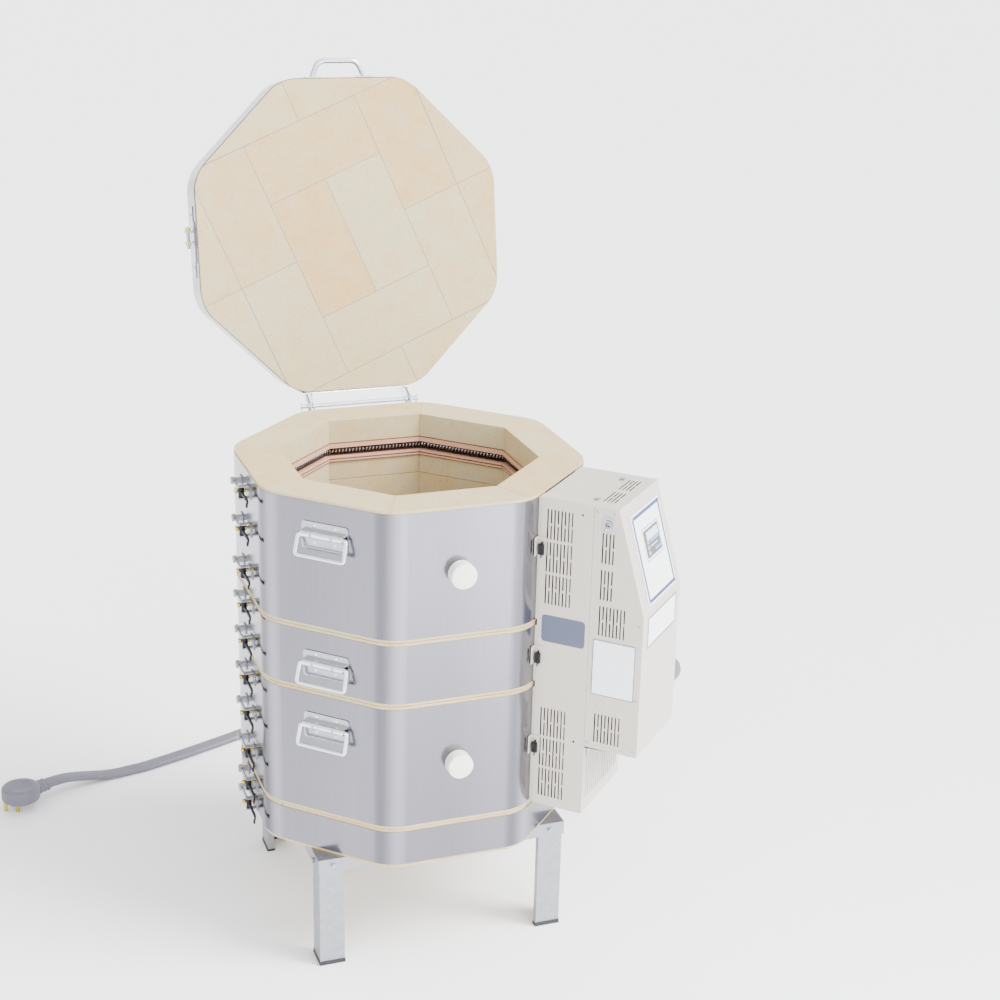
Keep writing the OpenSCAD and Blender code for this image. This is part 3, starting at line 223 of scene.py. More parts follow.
class Finish:
    """Node tree of one finish, with a short call for each kind of node that the finishes share."""

    def __init__(self, name, base, rough, metal=0.0, **sockets):
        self.material = bpy.data.materials.new(name)
        self.material.use_nodes = True
        self.tree = self.material.node_tree
        self.surface = self.tree.nodes["Principled BSDF"]
        self.put("Base Color", (*base, 1.0))
        self.put("Roughness", rough)
        self.put("Metallic", metal)
        for socket, value in sockets.items():
            self.put(socket.replace("_", " "), value)
        self.here = self.node("ShaderNodeTexCoord").node.outputs["Object"]

    def put(self, socket, value, node=None):
        target = (node or self.surface).inputs[socket]
        if isinstance(value, bpy.types.NodeSocket):
            self.tree.links.new(value, target)
        else:
            target.default_value = value

    def node(self, kind, settings=None, **inputs):
        made = self.tree.nodes.new(kind)
        for key, value in (settings or {}).items():
            setattr(made, key, value)
        for socket, value in inputs.items():
            self.put(socket.replace("_", " "), value, made)
        return made.outputs[0]

    def noise(self, scale, detail=3.0, stretch=None, **more):
        """Cloudy value round a half, on coordinates stretched where asked."""
        at = self.here
        if stretch:
            at = self.node("ShaderNodeMapping", Vector=self.here, Scale=stretch)
        return self.node("ShaderNodeTexNoise", Vector=at, Scale=scale, Detail=detail, **more)

    def cells(self, scale, output="Distance", **settings):
        """Distance to the nearest cell's middle, or the cell's own colour."""
        made = self.node("ShaderNodeTexVoronoi", settings, Vector=self.here, Scale=scale).node
        return made.outputs[output]

    def span(self, value, low, high, to_low=0.0, to_high=1.0):
        """Maps the value's range onto another, clamped."""
        return self.node(
            "ShaderNodeMapRange",
            Value=value,
            From_Min=low,
            From_Max=high,
            To_Min=to_low,
            To_Max=to_high,
        )

    def times(self, a, b, how="MULTIPLY"):
        made = self.tree.nodes.new("ShaderNodeMath")
        made.operation = how
        self.put(0, a, made)
        self.put(1, b, made)
        return made.outputs[0]

    def blend(self, share, first, second, how="MIX"):
        made = self.tree.nodes.new("ShaderNodeMix")
        made.data_type = "RGBA"
        made.blend_type = how
        for socket, value in ((0, share), (6, first), (7, second)):
            if isinstance(value, tuple):
                value = (*value, 1.0)
            self.put(socket, value, made)
        return made.outputs[2]

    def bump(self, height, strength, depth):
        """Raises the surface by the height times the depth, after any bump made before."""
        made = self.tree.nodes.new("ShaderNodeBump")
        self.put("Height", height, made)
        made.inputs["Strength"].default_value = strength
        made.inputs["Distance"].default_value = depth
        before = self.surface.inputs["Normal"].links
        if before:
            self.put("Normal", before[0].from_socket, made)
        self.put("Normal", made.outputs[0])


def firebrick(name, base):
    """Soft insulating brick: cream to warm by brick, cloudy inside a brick, pitted and grainy."""
    tones = sizes("finishes")
    f = Finish(name, base, 0.95, **{"Specular_IOR_Level": 0.15})
    tint = f.node("ShaderNodeAttribute", {"attribute_name": "tint"}).node.outputs["Fac"]
    cloud = f.span(f.noise(26.0, 4.0), 0.35, 0.7, -0.25, 0.35)
    share = f.times(f.times(tint, cloud, "ADD"), 1.0, "MINIMUM")
    body = f.blend(f.times(share, 0.0, "MAXIMUM"), tuple(tones.brick_pale), tuple(tones.brick_warm))
    specks = f.span(f.cells(230.0), 0.12, 0.26, 1.0, 0.0)
    rare = f.span(f.noise(120.0, 2.0), 0.47, 0.6)
    pits = f.times(f.times(specks, rare), 0.85)
    body = f.blend(pits, body, toned(tones.brick_warm, 0.45))
    pale = f.span(f.noise(900.0, 2.0), 0.56, 0.72, 0.0, 0.35)
    f.put("Base Color", f.blend(pale, body, (0.93, 0.90, 0.82)))
    f.bump(f.noise(700.0, 6.0), 0.35, 0.0006)
    f.bump(f.times(specks, rare), 0.6, -0.0006)
    return f.material


def mortar(name, base):
    f = Finish(name, base, 0.95)
    f.put("Base Color", f.blend(f.noise(300.0), base, toned(base, 0.8)))
    f.bump(f.noise(800.0, 4.0), 0.4, 0.0004)
    return f.material


def stainless(name, base):
    """Bright rolled sheet: fine upright rolling lines and a soft gloss. As painted reflections, the
    bends carry a darker band on one side and a brighter one on the other, and the flats a few
    wide faint bands."""
    f = Finish(name, base, 0.17, 1.0)
    lines = f.noise(60.0, 4.0, (6.0, 6.0, 0.12))
    # Painted reflection: a few wide faint upright bands on the flats
    painted_reflection_bands = f.span(f.noise(5.0, 1.0, (1.0, 1.0, 0.05)), 0.3, 0.7, 0.88, 1.1)
    # Painted reflection: darker on one side of each bend, brighter on the other
    bend = f.node("ShaderNodeAttribute", {"attribute_name": "bend"}).node.outputs["Fac"]
    bend = f.span(bend, -1.0, 1.0, 0.62, 1.38)
    # Painted reflections times the rolling lines' own slight tone
    reflection_and_grain_share = f.times(f.times(painted_reflection_bands, bend), f.span(lines, 0.3, 0.7, 1.03, 0.96))
    f.put("Base Color", f.blend(1.0, base, reflection_and_grain_share, "MULTIPLY"))
    f.put("Roughness", f.span(lines, 0.3, 0.7, 0.15, 0.22))
    f.bump(f.noise(3.0, 1.0), 0.25, 0.002)
    f.bump(lines, 0.05, 0.0002)
    return f.material


def plated(name, base, rough=0.2, patch=90.0):
    """Bright plating with a faint cloud in its gloss, a little duller in the clouds."""
    f = Finish(name, base, rough, 1.0)
    cloud = f.noise(patch, 3.0)
    f.put("Roughness", f.span(cloud, 0.35, 0.7, rough - 0.03, rough + 0.06))
    f.put("Base Color", f.blend(f.span(cloud, 0.3, 0.75), base, toned(base, 0.92)))
    return f.material


def galvanised(name, base):
    """Zinc spangle: each crystal cell a little lighter or darker, with a dull bloom."""
    f = Finish(name, base, 0.4, 0.9)
    spangle = f.span(f.cells(130.0, "Color"), 0.0, 1.0, 0.0, 0.5)
    f.put("Base Color", f.blend(spangle, base, toned(base, 0.72)))
    f.put("Roughness", f.span(f.noise(40.0, 4.0), 0.3, 0.7, 0.30, 0.48))
    f.bump(f.noise(220.0, 4.0), 0.15, 0.0003)
    return f.material


def coated(name, base, rough=0.42, grain=1500.0, depth=0.00012):
    """Baked powder coat: an orange-peel skin over an even colour."""
    f = Finish(name, base, rough, 0.0, **{"Specular_IOR_Level": 0.4})
    f.put("Base Color", f.blend(f.span(f.noise(8.0, 3.0), 0.3, 0.7), base, toned(base, 0.965)))
    peel = f.noise(grain, 3.0)
    f.put("Roughness", f.span(peel, 0.3, 0.7, rough - 0.06, rough + 0.08))
    f.bump(peel, 0.35, depth)
    return f.material


def moulded(name, base, rough=0.5):
    """Moulded plastic or rubber: a fine spark grain and a slightly uneven sheen."""
    f = Finish(name, base, rough)
    grain = f.noise(1900.0, 2.0)
    f.put("Roughness", f.span(f.noise(60.0, 3.0), 0.3, 0.7, rough - 0.07, rough + 0.1))
    f.put("Base Color", f.blend(f.span(f.noise(25.0, 4.0), 0.3, 0.7), base, toned(base, 0.9)))
    f.bump(grain, 0.25, 0.0001)
    return f.material


def fired(name, base, rough=0.55):
    """Fired ceramic: a chalky skin with a few pale and dark grains."""
    f = Finish(name, base, rough, 0.0, **{"Specular_IOR_Level": 0.35})
    grains = f.span(f.noise(900.0, 3.0), 0.35, 0.7)
    cloud = f.span(f.noise(30.0, 3.0), 0.3, 0.7, 0.0, 0.4)
    body = f.blend(cloud, base, toned(base, 0.93))
    f.put("Base Color", f.blend(f.times(grains, 0.3), body, toned(base, 0.82)))
    f.bump(f.noise(1100.0, 4.0), 0.25, 0.0003)
    return f.material


def oxidised(name, base, rough=0.6, metal=0.6):
    """Dark scale on steel: patches of grey through near black."""
    f = Finish(name, base, rough, metal)
    patches = f.noise(190.0, 5.0)
    f.put("Base Color", f.blend(f.span(patches, 0.35, 0.7), base, toned(base, 1.9)))
    f.put("Roughness", f.span(patches, 0.3, 0.7, rough - 0.1, rough + 0.1))
    f.bump(patches, 0.2, 0.0002)
    return f.material


def glossy(name, base):
    """Cover glass over a print: an even colour under a clear, faintly smeared gloss."""
    f = Finish(name, base, 0.12, 0.0, Coat_Weight=0.6, Coat_Roughness=0.05)
    f.put("Roughness", f.span(f.noise(35.0, 4.0), 0.3, 0.75, 0.08, 0.2))
    f.put("Base Color", f.blend(f.noise(500.0), base, toned(base, 0.92)))
    return f.material


MAKERS = {
    "brick": (firebrick, "brick_pale"),
    "joint": (mortar, "mortar"),
    "stainless": (stainless, "stainless"),
    "zinc": (plated, "zinc"),
    "bright zinc": (plated, "bright"),
    "galvanised": (galvanised, "galvanised"),
    "black oxide": (oxidised, "black"),
    "yellow zinc": (plated, "yellow"),
    "paint": (coated, "paint"),
    "panel": (coated, "panel"),
    "plate line": (coated, "line"),
    "grey plate": (coated, "grey_plate"),
    "holder": (fired, "holder"),
    "element": (plated, "wire"),
    # Painted shade in the holders' cavities and gaps, made with the dark scale finish
    "channel": (oxidised, tone(82, 62, 54)),
    "ceramic": (fired, "ceramic"),
    "cord": (moulded, "cord"),
    "rubber": (moulded, tone(30, 30, 32)),
    "black plastic": (moulded, tone(48, 49, 52)),
    # Painted shade: near black for the box's inner faces and the boards behind its slots
    "box lining": (moulded, tone(15, 15, 17)),
    "board": (moulded, tone(40, 98, 62)),
    "glass": (glossy, tone(24, 27, 33)),
    "screen pale": (glossy, tone(206, 214, 222)),
    "screen blue": (glossy, tone(96, 124, 190)),
    "screen green": (glossy, tone(110, 176, 128)),
}


def finish(name):
    """The named finish, made on its first use."""
    made = bpy.data.materials.get(name)
    if made:
        return made
    maker, base = MAKERS[name]
    return maker(name, tuple(getattr(sizes("finishes"), base)) if isinstance(base, str) else base)


# ---------------------------------------------------------------- surfaces


def outward(points, faces):
    """Turns a closed skin's faces round if its volume, the sum over all faces of a corner times
    the cross products of the next two round its fan, comes out negative."""
    volume = sum(
        np.einsum("ijk,ik->", np.cross(points[g][:, 1:-1], points[g][:, 2:]), points[g][:, 0])
        for g in faces
    )
    return points, [g[:, ::-1] for g in faces] if volume < 0 else faces


def skin(grid, closed=False):
    """Closed skin over a grid of points: rows follow one another, each row is a loop, and the
    first and last rows are capped, or joined to each other where the rows close too."""
    rows, columns = grid.shape[:2]
    ids = np.arange(rows * columns).reshape(rows, columns)
    round_ids = np.hstack([ids, ids[:, :1]])
    if closed:
        round_ids = np.vstack([round_ids, round_ids[:1]])
    quads = np.stack(
        [round_ids[:-1, :-1], round_ids[1:, :-1], round_ids[1:, 1:], round_ids[:-1, 1:]], -1
    ).reshape(-1, 4)
    caps = [] if closed else [ids[:1, ::-1], ids[-1:]]
    return outward(grid.reshape(-1, 3), [quads, *caps])


def levels(outlines, heights):
    """Grid of plan outlines, each at its height."""
    return np.stack(
        [np.column_stack([plan, np.full(len(plan), z)]) for plan, z in zip(outlines, heights)]
    )


def box(wide, deep, high, at=(0, 0, 0)):
    """Block centred in X and Z that stands out along -Y from its place."""
    x = np.array([-1, 1, 1, -1]) * wide / 2
    z = np.array([-1, -1, 1, 1]) * high / 2
    grid = np.stack([np.column_stack([x, np.full(4, y), z]) for y in (0.0, -deep)])
    return skin(grid + np.array(at))


def rounded(wide, high, radius, steps=4):
    """Rectangle with round corners: each corner's arc of the radius about its own centre."""
    a = np.radians(90 * (np.arange(4)[:, None] + np.linspace(0, 1, steps + 1)[None]))
    middle = np.array([[1, 1], [-1, 1], [-1, -1], [1, -1]]) * (
        np.array([wide, high]) / 2 - radius
    )
    return (middle[:, None] + radius * np.stack([np.cos(a), np.sin(a)], -1)).reshape(-1, 2)


def plate(wide, high, thick, radius, at=(0, 0, 0)):
    """Flat plate with round corners in X and Z that stands out along -Y from its place."""
    plan = rounded(wide, high, radius)
    grid = np.stack(
        [np.column_stack([plan[:, 0], np.full(len(plan), y), plan[:, 1]]) for y in (0.0, -thick)]
    )
    return skin(grid + np.array(at))


def border(wide, high, line, thick, radius, at=(0, 0, 0)):
    """Flat frame round a plate: the outer outline and one drawn in by the line's width."""
    outer = rounded(wide, high, radius)
    inner = rounded(wide - 2 * line, high - 2 * line, max(radius - line, line / 4))
    loops = [(outer, 0.0), (outer, -thick), (inner, -thick), (inner, 0.0)]
    grid = np.stack(
        [np.column_stack([plan[:, 0], np.full(len(plan), y), plan[:, 1]]) for plan, y in loops]
    )
    return skin(grid + np.array(at), closed=True)


def lathe(profile, axis="-y", at=(0, 0, 0), sides=40):
    """Turned shape: each (radius, distance) of the profile is carried round the axis."""
    profile = np.asarray(profile, float)
    a = np.linspace(0, 2 * np.pi, sides, endpoint=False)
    x, y = profile[:, :1] * np.cos(a), profile[:, :1] * np.sin(a)
    h = np.broadcast_to(profile[:, 1:], x.shape)
    order = {"x": (h, x, y), "-y": (x, -h, y), "z": (x, y, h)}[axis]
    return skin(np.stack(order, -1) + np.array(at))


def rod(diameter, reach, axis="-y", at=(0, 0, 0), sides=24):
    """Plain bar from its place along the axis."""
    return lathe([[diameter / 2, 0], [diameter / 2, reach]], axis, at, sides)


def rivet(diameter, high, at):
    """Domed head: a quarter of an ellipse turned about -Y."""
    a = np.linspace(0, 0.96, 6) * np.pi / 2
    return lathe(np.column_stack([diameter / 2 * np.cos(a), high * np.sin(a)]), "-y", at, 20)


def circle(sides):
    a = np.linspace(0, 2 * np.pi, sides, endpoint=False)
    return np.column_stack([np.cos(a), np.sin(a)])


def unit(v):
    return v / np.linalg.norm(v, axis=-1, keepdims=True)


def sweep(path, side, section, scale=None):
    """Carries a section along a path. At each station the run is the path's slope, the section's
    first direction is the side vector made square to the run, and its second is their cross
    product."""
    path = np.asarray(path, float)
    run = unit(np.gradient(path, axis=0))
    side = np.broadcast_to(np.asarray(side, float), path.shape)
    across = unit(side - np.sum(side * run, -1, keepdims=True) * run)
    above = np.cross(run, across)
    scale = np.ones((len(path), 2)) if scale is None else np.asarray(scale, float)
    grid = (
        path[:, None]
        + (scale[:, None, :1] * section[None, :, :1]) * across[:, None]
        + (scale[:, None, 1:] * section[None, :, 1:]) * above[:, None]
    )
    return skin(grid)


def eased(points, radius, steps=6):
    """Path whose inner corners are curves that leave and meet the straights at the radius:
    a curve is the weighted mean of its start, its corner and its end."""
    p = np.asarray(points, float)
    back, ahead = unit(p[:-2] - p[1:-1]), unit(p[2:] - p[1:-1])
    s = np.linspace(0, 1, steps + 1)[None, :, None]
    corner = p[1:-1, None]
    start, end = corner + radius * back[:, None], corner + radius * ahead[:, None]
    curve = (1 - s) ** 2 * start + 2 * s * (1 - s) * corner + s**2 * end
    return np.vstack([p[:1], curve.reshape(-1, 3), p[-1:]])


def through(points, steps):
    """Smooth curve through the points: between two of them it is the cubic whose slopes there
    are half the step from the point before to the point after."""
    p = np.asarray(points, float)
    p = np.vstack([2 * p[0] - p[1], p, 2 * p[-1] - p[-2]])
    a, b, c, d = p[:-3, None], p[1:-2, None], p[2:-1, None], p[3:, None]
    s = np.linspace(0, 1, steps, endpoint=False)[None, :, None]
    curve = 0.5 * (
        2 * b + (c - a) * s + (2 * a - 5 * b + 4 * c - d) * s**2 + (3 * b - a - 3 * c + d) * s**3
    )
    return np.vstack([curve.reshape(-1, 3), p[-2:-1]])


# ---------------------------------------------------------------- places


def placed(part, move):
    """A part with its points moved, still facing outwards."""
    return outward(move(part[0]), part[1])


def about(points, axis, angle, centre=(0, 0, 0)):
    """Points turned by the angle about an axis through the centre."""
    turning = np.array(Matrix.Rotation(angle, 3, axis))
    return (points - centre) @ turning.T + centre


def at_face(part, face, t=0.0, n=0.0, z=0.0):
    """Puts a part on a steel face: t along the face, n out of the steel, z up."""
    shift = np.array([t, -(sizes("body").apothem + n), z])
    return placed(part, lambda p: about(p + shift, "Z", SIDE * face))


def at_box(part, v, u, z):
    """Puts a part on the control box: v across it, u out from the kiln's axis."""
    return placed(part, lambda p: about(p + np.array([v, -u, z]), "Z", SIDE * CONTROL_FACE))


def at_box_side(part, u, drop, n=0.0):
    """Puts a part on the box's left side, facing out of it: u along it and drop below the top."""
    b = sizes("box")
    shift = np.array([-b.wide / 2 - n, -u, b.top - drop])
    return placed(
        part, lambda p: about(about(p, "Z", -np.pi / 2) + shift, "Z", SIDE * CONTROL_FACE)
    )


def at_slope(part, v, s, n=0.0):
    """Puts a part on the box's slope: v across, s down from the slope's top edge, n out of it."""
    b = sizes("box")
    lean = math.atan((b.front_deep - b.front_top_deep) / b.slope_high)
    shift = np.array(
        [v, -(b.seam_u + b.front_top_deep + s * math.sin(lean)), b.top - s * math.cos(lean)]
    )
    out = np.array([0, n, 0])
    return placed(
        part, lambda p: about(about(p - out, "X", -lean) + shift, "Z", SIDE * CONTROL_FACE)
    )


def opened(part):
    """Swings a part of the closed lid up about the hinge rod."""
    lid = sizes("lid")
    return placed(part, lambda p: about(p, "X", -lid.opened, np.array([0, lid.rod_y, lid.rod_z])))


# ---------------------------------------------------------------- pieces


def ease_edges(piece, width, steps=2, angle=38):
    """Rounds every edge sharper than the angle."""
    bevel = piece.modifiers.new("eased edges", "BEVEL")
    bevel.width = width
    bevel.segments = steps
    bevel.limit_method = "ANGLE"
    bevel.angle_limit = math.radians(angle)
    bevel.harden_normals = True


def dress(piece, body, replaced, ease):
    """Gives a piece its soft shading, eased edges, body and the node it stands for."""
    piece.data.polygons.foreach_set("use_smooth", np.ones(len(piece.data.polygons), bool))
    piece.data.set_sharp_from_angle(angle=math.radians(34))
    if ease:
        ease_edges(piece, ease)
    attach(piece, body)
    if replaced:
        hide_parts(*replaced)
    return piece


def make(name, parts, body, replaced=(), ease=0.0, tints=None, bend=None):
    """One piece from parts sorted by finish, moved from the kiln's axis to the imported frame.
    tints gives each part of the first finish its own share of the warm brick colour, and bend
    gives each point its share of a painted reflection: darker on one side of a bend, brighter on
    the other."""
    mesh = bpy.data.meshes.new(name)
    points, faces, marks, tint, start = [], [], [], [], 0
    for mark, (finish_name, group) in enumerate(parts.items()):
        mesh.materials.append(finish(finish_name))
        for number, (part_points, part_faces) in enumerate(group):
            points.append(part_points)
            count = sum(len(g) for g in part_faces)
            for g in part_faces:
                faces.extend((g + start).tolist())
            marks += [mark] * count
            tint += [tints[number] if tints is not None and mark == 0 else 0.0] * count
            start += len(part_points)
    mesh.from_pydata(np.vstack(points) + AXIS, [], faces)
    mesh.polygons.foreach_set("material_index", marks)
    if tints is not None:
        mesh.attributes.new("tint", "FLOAT", "FACE").data.foreach_set("value", tint)
    # Painted reflection: each point's lean to the dark or bright side of a bend
    if bend is not None:
        mesh.attributes.new("bend", "FLOAT", "POINT").data.foreach_set("value", bend)
    piece = bpy.data.objects.new(name, mesh)
    bpy.context.scene.collection.objects.link(piece)
    return dress(piece, body, replaced, ease)


def bored(piece, cutter):
    """Cuts a bore into a piece and keeps the result as its mesh."""
    points, faces = cutter
    mesh = bpy.data.meshes.new("bore")
    mesh.from_pydata(points + AXIS, [], [f for g in faces for f in g.tolist()])
    tool = bpy.data.objects.new("bore", mesh)
    bpy.context.scene.collection.objects.link(tool)
    cut = piece.modifiers.new("bore", "BOOLEAN")
    cut.operation, cut.object, cut.solver = "DIFFERENCE", tool, "EXACT"
    piece.modifiers.move(len(piece.modifiers) - 1, 0)
    bevels = [m for m in piece.modifiers if m.type == "BEVEL"]
    kept = [(m.width, m.segments) for m in bevels]
    for bevel in bevels:
        piece.modifiers.remove(bevel)
    depsgraph = bpy.context.evaluated_depsgraph_get()
    result = bpy.data.meshes.new_from_object(piece.evaluated_get(depsgraph))
    piece.modifiers.clear()
    piece.data = result
    for width, segments in kept:
        ease_edges(piece, width, segments)
    bpy.data.objects.remove(tool)


# Edges of bent sheet longer than this are bends or rims, and not the ends of slots
LONG_EDGE = 100 * MM


def from_cad(name, nodes, finish_name, body, ease, long_ease=None, lining=None):
    """Piece with the CAD nodes' own shape: their triangles are merged, flat neighbours joined, and
    their edges eased. Where a long ease is given, the triangles stay and only the long edges are
    eased, by that much, as in bent sheet. The inner shade, where given, is a dark finish painted
    as shade on the faces that look towards the piece's middle."""
    mesh = bpy.data.meshes.new(name)
    work = bmesh.new()
    for node in nodes:
        work.from_mesh(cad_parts[node].data)
    bmesh.ops.remove_doubles(work, verts=work.verts, dist=2e-6)
    if not long_ease:
        bmesh.ops.dissolve_limit(
            work, angle_limit=math.radians(0.6), verts=work.verts, edges=work.edges
        )
    work.to_mesh(mesh)
    work.free()
    mesh.materials.clear()
    mesh.materials.append(finish(finish_name))
    mesh.polygons.foreach_set("material_index", np.zeros(len(mesh.polygons), np.int32))
    piece = bpy.data.objects.new(name, mesh)
    bpy.context.scene.collection.objects.link(piece)
    dress(piece, body, nodes, ease)
    # Painted shade: the faces that look inwards get a near black finish
    if lining:
        mesh.materials.append(finish(lining))
        count = len(mesh.polygons)
        middles, normals = np.zeros(3 * count), np.zeros(3 * count)
        mesh.polygons.foreach_get("center", middles)
        mesh.polygons.foreach_get("normal", normals)
        middles, normals = middles.reshape(-1, 3), normals.reshape(-1, 3)
        low, high = (np.array(corner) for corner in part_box(nodes[0]))
        inside = np.sum((middles - (low + high) / 2) * normals, 1) < 0
        mesh.polygons.foreach_set("material_index", inside.astype(np.int32))
    if long_ease:
        mesh.polygons.foreach_set("use_smooth", np.zeros(len(mesh.polygons), bool))
        ends = np.zeros(2 * len(mesh.edges), np.int32)
        places = np.zeros(3 * len(mesh.vertices))
        mesh.edges.foreach_get("vertices", ends)
        mesh.vertices.foreach_get("co", places)
        reach = places.reshape(-1, 3)[ends.reshape(-1, 2)]
        edge = np.linalg.norm(reach[:, 0] - reach[:, 1], axis=1)
        sharp = np.zeros(len(mesh.edges), bool)
        mesh.attributes["sharp_edge"].data.foreach_get("value", sharp)
        weight = np.where(sharp & (edge > LONG_EDGE), 1.0, 0.0)
        mesh.attributes.new("bevel_weight_edge", "FLOAT", "EDGE").data.foreach_set("value", weight)
        bevel = piece.modifiers[0]
        bevel.limit_method, bevel.width, bevel.segments = "WEIGHT", long_ease, 3
        bevel.harden_normals = False
    return piece


# ---------------------------------------------------------------- stage


# Direction of the room's brighter side, and the room's strength at the skyline
ROOM_SIDE = (0.72, -0.36, 0.6)
SKYLINE = 3.6


class KILN_OT_stage(Operator):
    """Camera, studio light and plain floor"""

    bl_idname = "kiln.stage"
    bl_label = "Stage"

    def execute(self, context):
        s = context.scene.kiln_stage
        data = bpy.data.cameras.new("view")
        data.lens, data.sensor_width, data.sensor_fit = s.lens, 36.0, "HORIZONTAL"
        data.clip_end = 200.0
        ahead = np.array(
            [
                math.sin(s.heading) * math.cos(s.tilt),
                math.cos(s.heading) * math.cos(s.tilt),
                -math.sin(s.tilt),
            ]
        )
        right = unit(np.cross(ahead, [0, 0, 1]))
        up = np.cross(right, ahead)
        turned_right = right * math.cos(s.roll) + up * math.sin(s.roll)
        turned_up = up * math.cos(s.roll) - right * math.sin(s.roll)
        camera = bpy.data.objects.new("view", data)
        matrix = Matrix(np.column_stack([turned_right, turned_up, -ahead]).tolist()).to_4x4()
        matrix.translation = (AXIS + np.array([s.camera_x, s.camera_y, s.camera_z])).tolist()
        camera.matrix_world = matrix
        context.scene.collection.objects.link(camera)
        context.scene.camera = camera

        self.studio(context)
        half, edge = 40.0, np.array([[-1, -1], [1, -1], [1, 1], [-1, 1]])
        mesh = bpy.data.meshes.new("floor")
        mesh.from_pydata(np.column_stack([half * edge, np.zeros(4)]), [], [[0, 1, 2, 3]])
        f = Finish("pale floor", tuple(s.floor), 0.7, 0.0, **{"Specular_IOR_Level": 0.2})
        f.put("Roughness", f.span(f.noise(2.0, 2.0), 0.3, 0.7, 0.65, 0.75))
        mesh.materials.append(f.material)
        floor = bpy.data.objects.new("floor", mesh)
        context.scene.collection.objects.link(floor)
        return {"FINISHED"}

    def studio(self, context):
        """Room as bright as the floor at its skyline and brighter to the right above it, with soft
        darker panels overhead for the metal to mirror, a wide soft sun, and a lamp close over the
        floor in front of the kiln."""
        world = bpy.data.worlds.new("studio")
        world.use_nodes = True
        tree = world.node_tree

        def node(kind, *values):
            made = tree.nodes.new(kind)
            for slot, value in values:
                if isinstance(value, bpy.types.NodeSocket):
                    tree.links.new(value, made.inputs[slot])
                else:
                    made.inputs[slot].default_value = value
            return made

        def span(value, low, high, to_low=0.0, to_high=1.0):
            return node(
                "ShaderNodeMapRange", ("Value", value), ("From Min", low), ("From Max", high),
                ("To Min", to_low), ("To Max", to_high),
            )

        place = tree.nodes.new("ShaderNodeTexCoord").outputs["Generated"]
        side = node("ShaderNodeVectorMath", (1, ROOM_SIDE))
        side.operation = "DOT_PRODUCT"
        tree.links.new(place, side.inputs[0])
        power = span(side.outputs["Value"], -0.7, 1.0, 1.3, 4.0)
        cloud = node(
            "ShaderNodeTexNoise", ("Scale", 2.6), ("Detail", 0.0), ("Vector", place)
        ).outputs[0]
        dark = span(cloud, 0.40, 0.52, 0.25, 1.15)
        dark.interpolation_type = "SMOOTHSTEP"
        height = node("ShaderNodeSeparateXYZ", (0, place)).outputs["Z"]
        panel = node(
            "ShaderNodeMix", (0, span(height, 0.22, 0.42).outputs[0]), (2, 1.0),
            (3, dark.outputs[0]),
        )
        both = node("ShaderNodeMath", (0, power.outputs[0]), (1, panel.outputs[0]))
        both.operation = "MULTIPLY"
        level = node(
            "ShaderNodeMix", (0, span(height, 0.10, 0.22).outputs[0]), (2, SKYLINE),
            (3, both.outputs[0]),
        )
        background = tree.nodes["Background"]
        background.inputs["Color"].default_value = (0.98, 0.985, 1.0, 1.0)
        tree.links.new(level.outputs[0], background.inputs["Strength"])
        context.scene.world = world

        lamps = (
            ("sun", "SUN", (3.0, -1.9, 3.4), (0, 0, 0), 7.6),
            ("floor lamp", "AREA", (0.85, -2.55, 1.3), (0.85, -2.55, 0), 120.0),
        )
        for name, kind, place, aim, power in lamps:
            data = bpy.data.lights.new(name, kind)
            data.energy = power
            if kind == "SUN":
                data.angle = math.radians(28)
            else:
                data.size = 1.4
            lamp = bpy.data.objects.new(name, data)
            lamp.location = place
            lamp.rotation_euler = (Vector(aim) - Vector(place)).to_track_quat("-Z", "Y").to_euler()
            context.scene.collection.objects.link(lamp)


# ---------------------------------------------------------------- cord

# Middle line of the cord from its gland round the back to the plug, in metres from the axis
CORD_ROUTE = np.array(
    [
        [328, -150, 356], [354, -124, 354], [381, -95, 343], [399, -62, 321], [407, -27, 290],
        [408, 6, 252], [407, 36, 210], [405, 64, 166], [402, 92, 123], [399, 124, 84],
        [396, 161, 50], [394, 204, 25], [392, 252, 11], [391, 305, 6.5], [390, 365, 6.5],
        [389, 430, 6.5], [388, 500, 6.5], [381, 560, 6.5], [364, 618, 6.5], [337, 672, 6.5],
        [299, 719, 6.5], [252, 755, 6.5], [197, 777, 6.5], [138, 784, 6.5], [78, 776, 6.5],
        [18, 754, 6.5], [-45, 726, 6.5], [-110, 697, 6.5], [-176, 668, 6.5], [-242, 640, 6.5],
        [-315, 611, 6.5], [-391, 584, 6.5], [-420.5, 577.5, 6.5], [-449.9, 571.1, 6.7],
        [-479.4, 564.4, 10.1], [-508.6, 557, 16.5], [-537.5, 548.3, 23.7], [-565.8, 538, 29.6],
        [-593.3, 525.5, 32], [-604, 520, 32],
    ]
) * MM
PLUG_PLACE = np.array([-657, 493, 0]) * MM
PLUG_HEADING = math.radians(27)
# Place of each blade from the plug's middle, in millimetres, and its turn in degrees
PLUG_BLADES = ((-31, -5, -30), (-9, -14, -30), (-8, 14, 60))


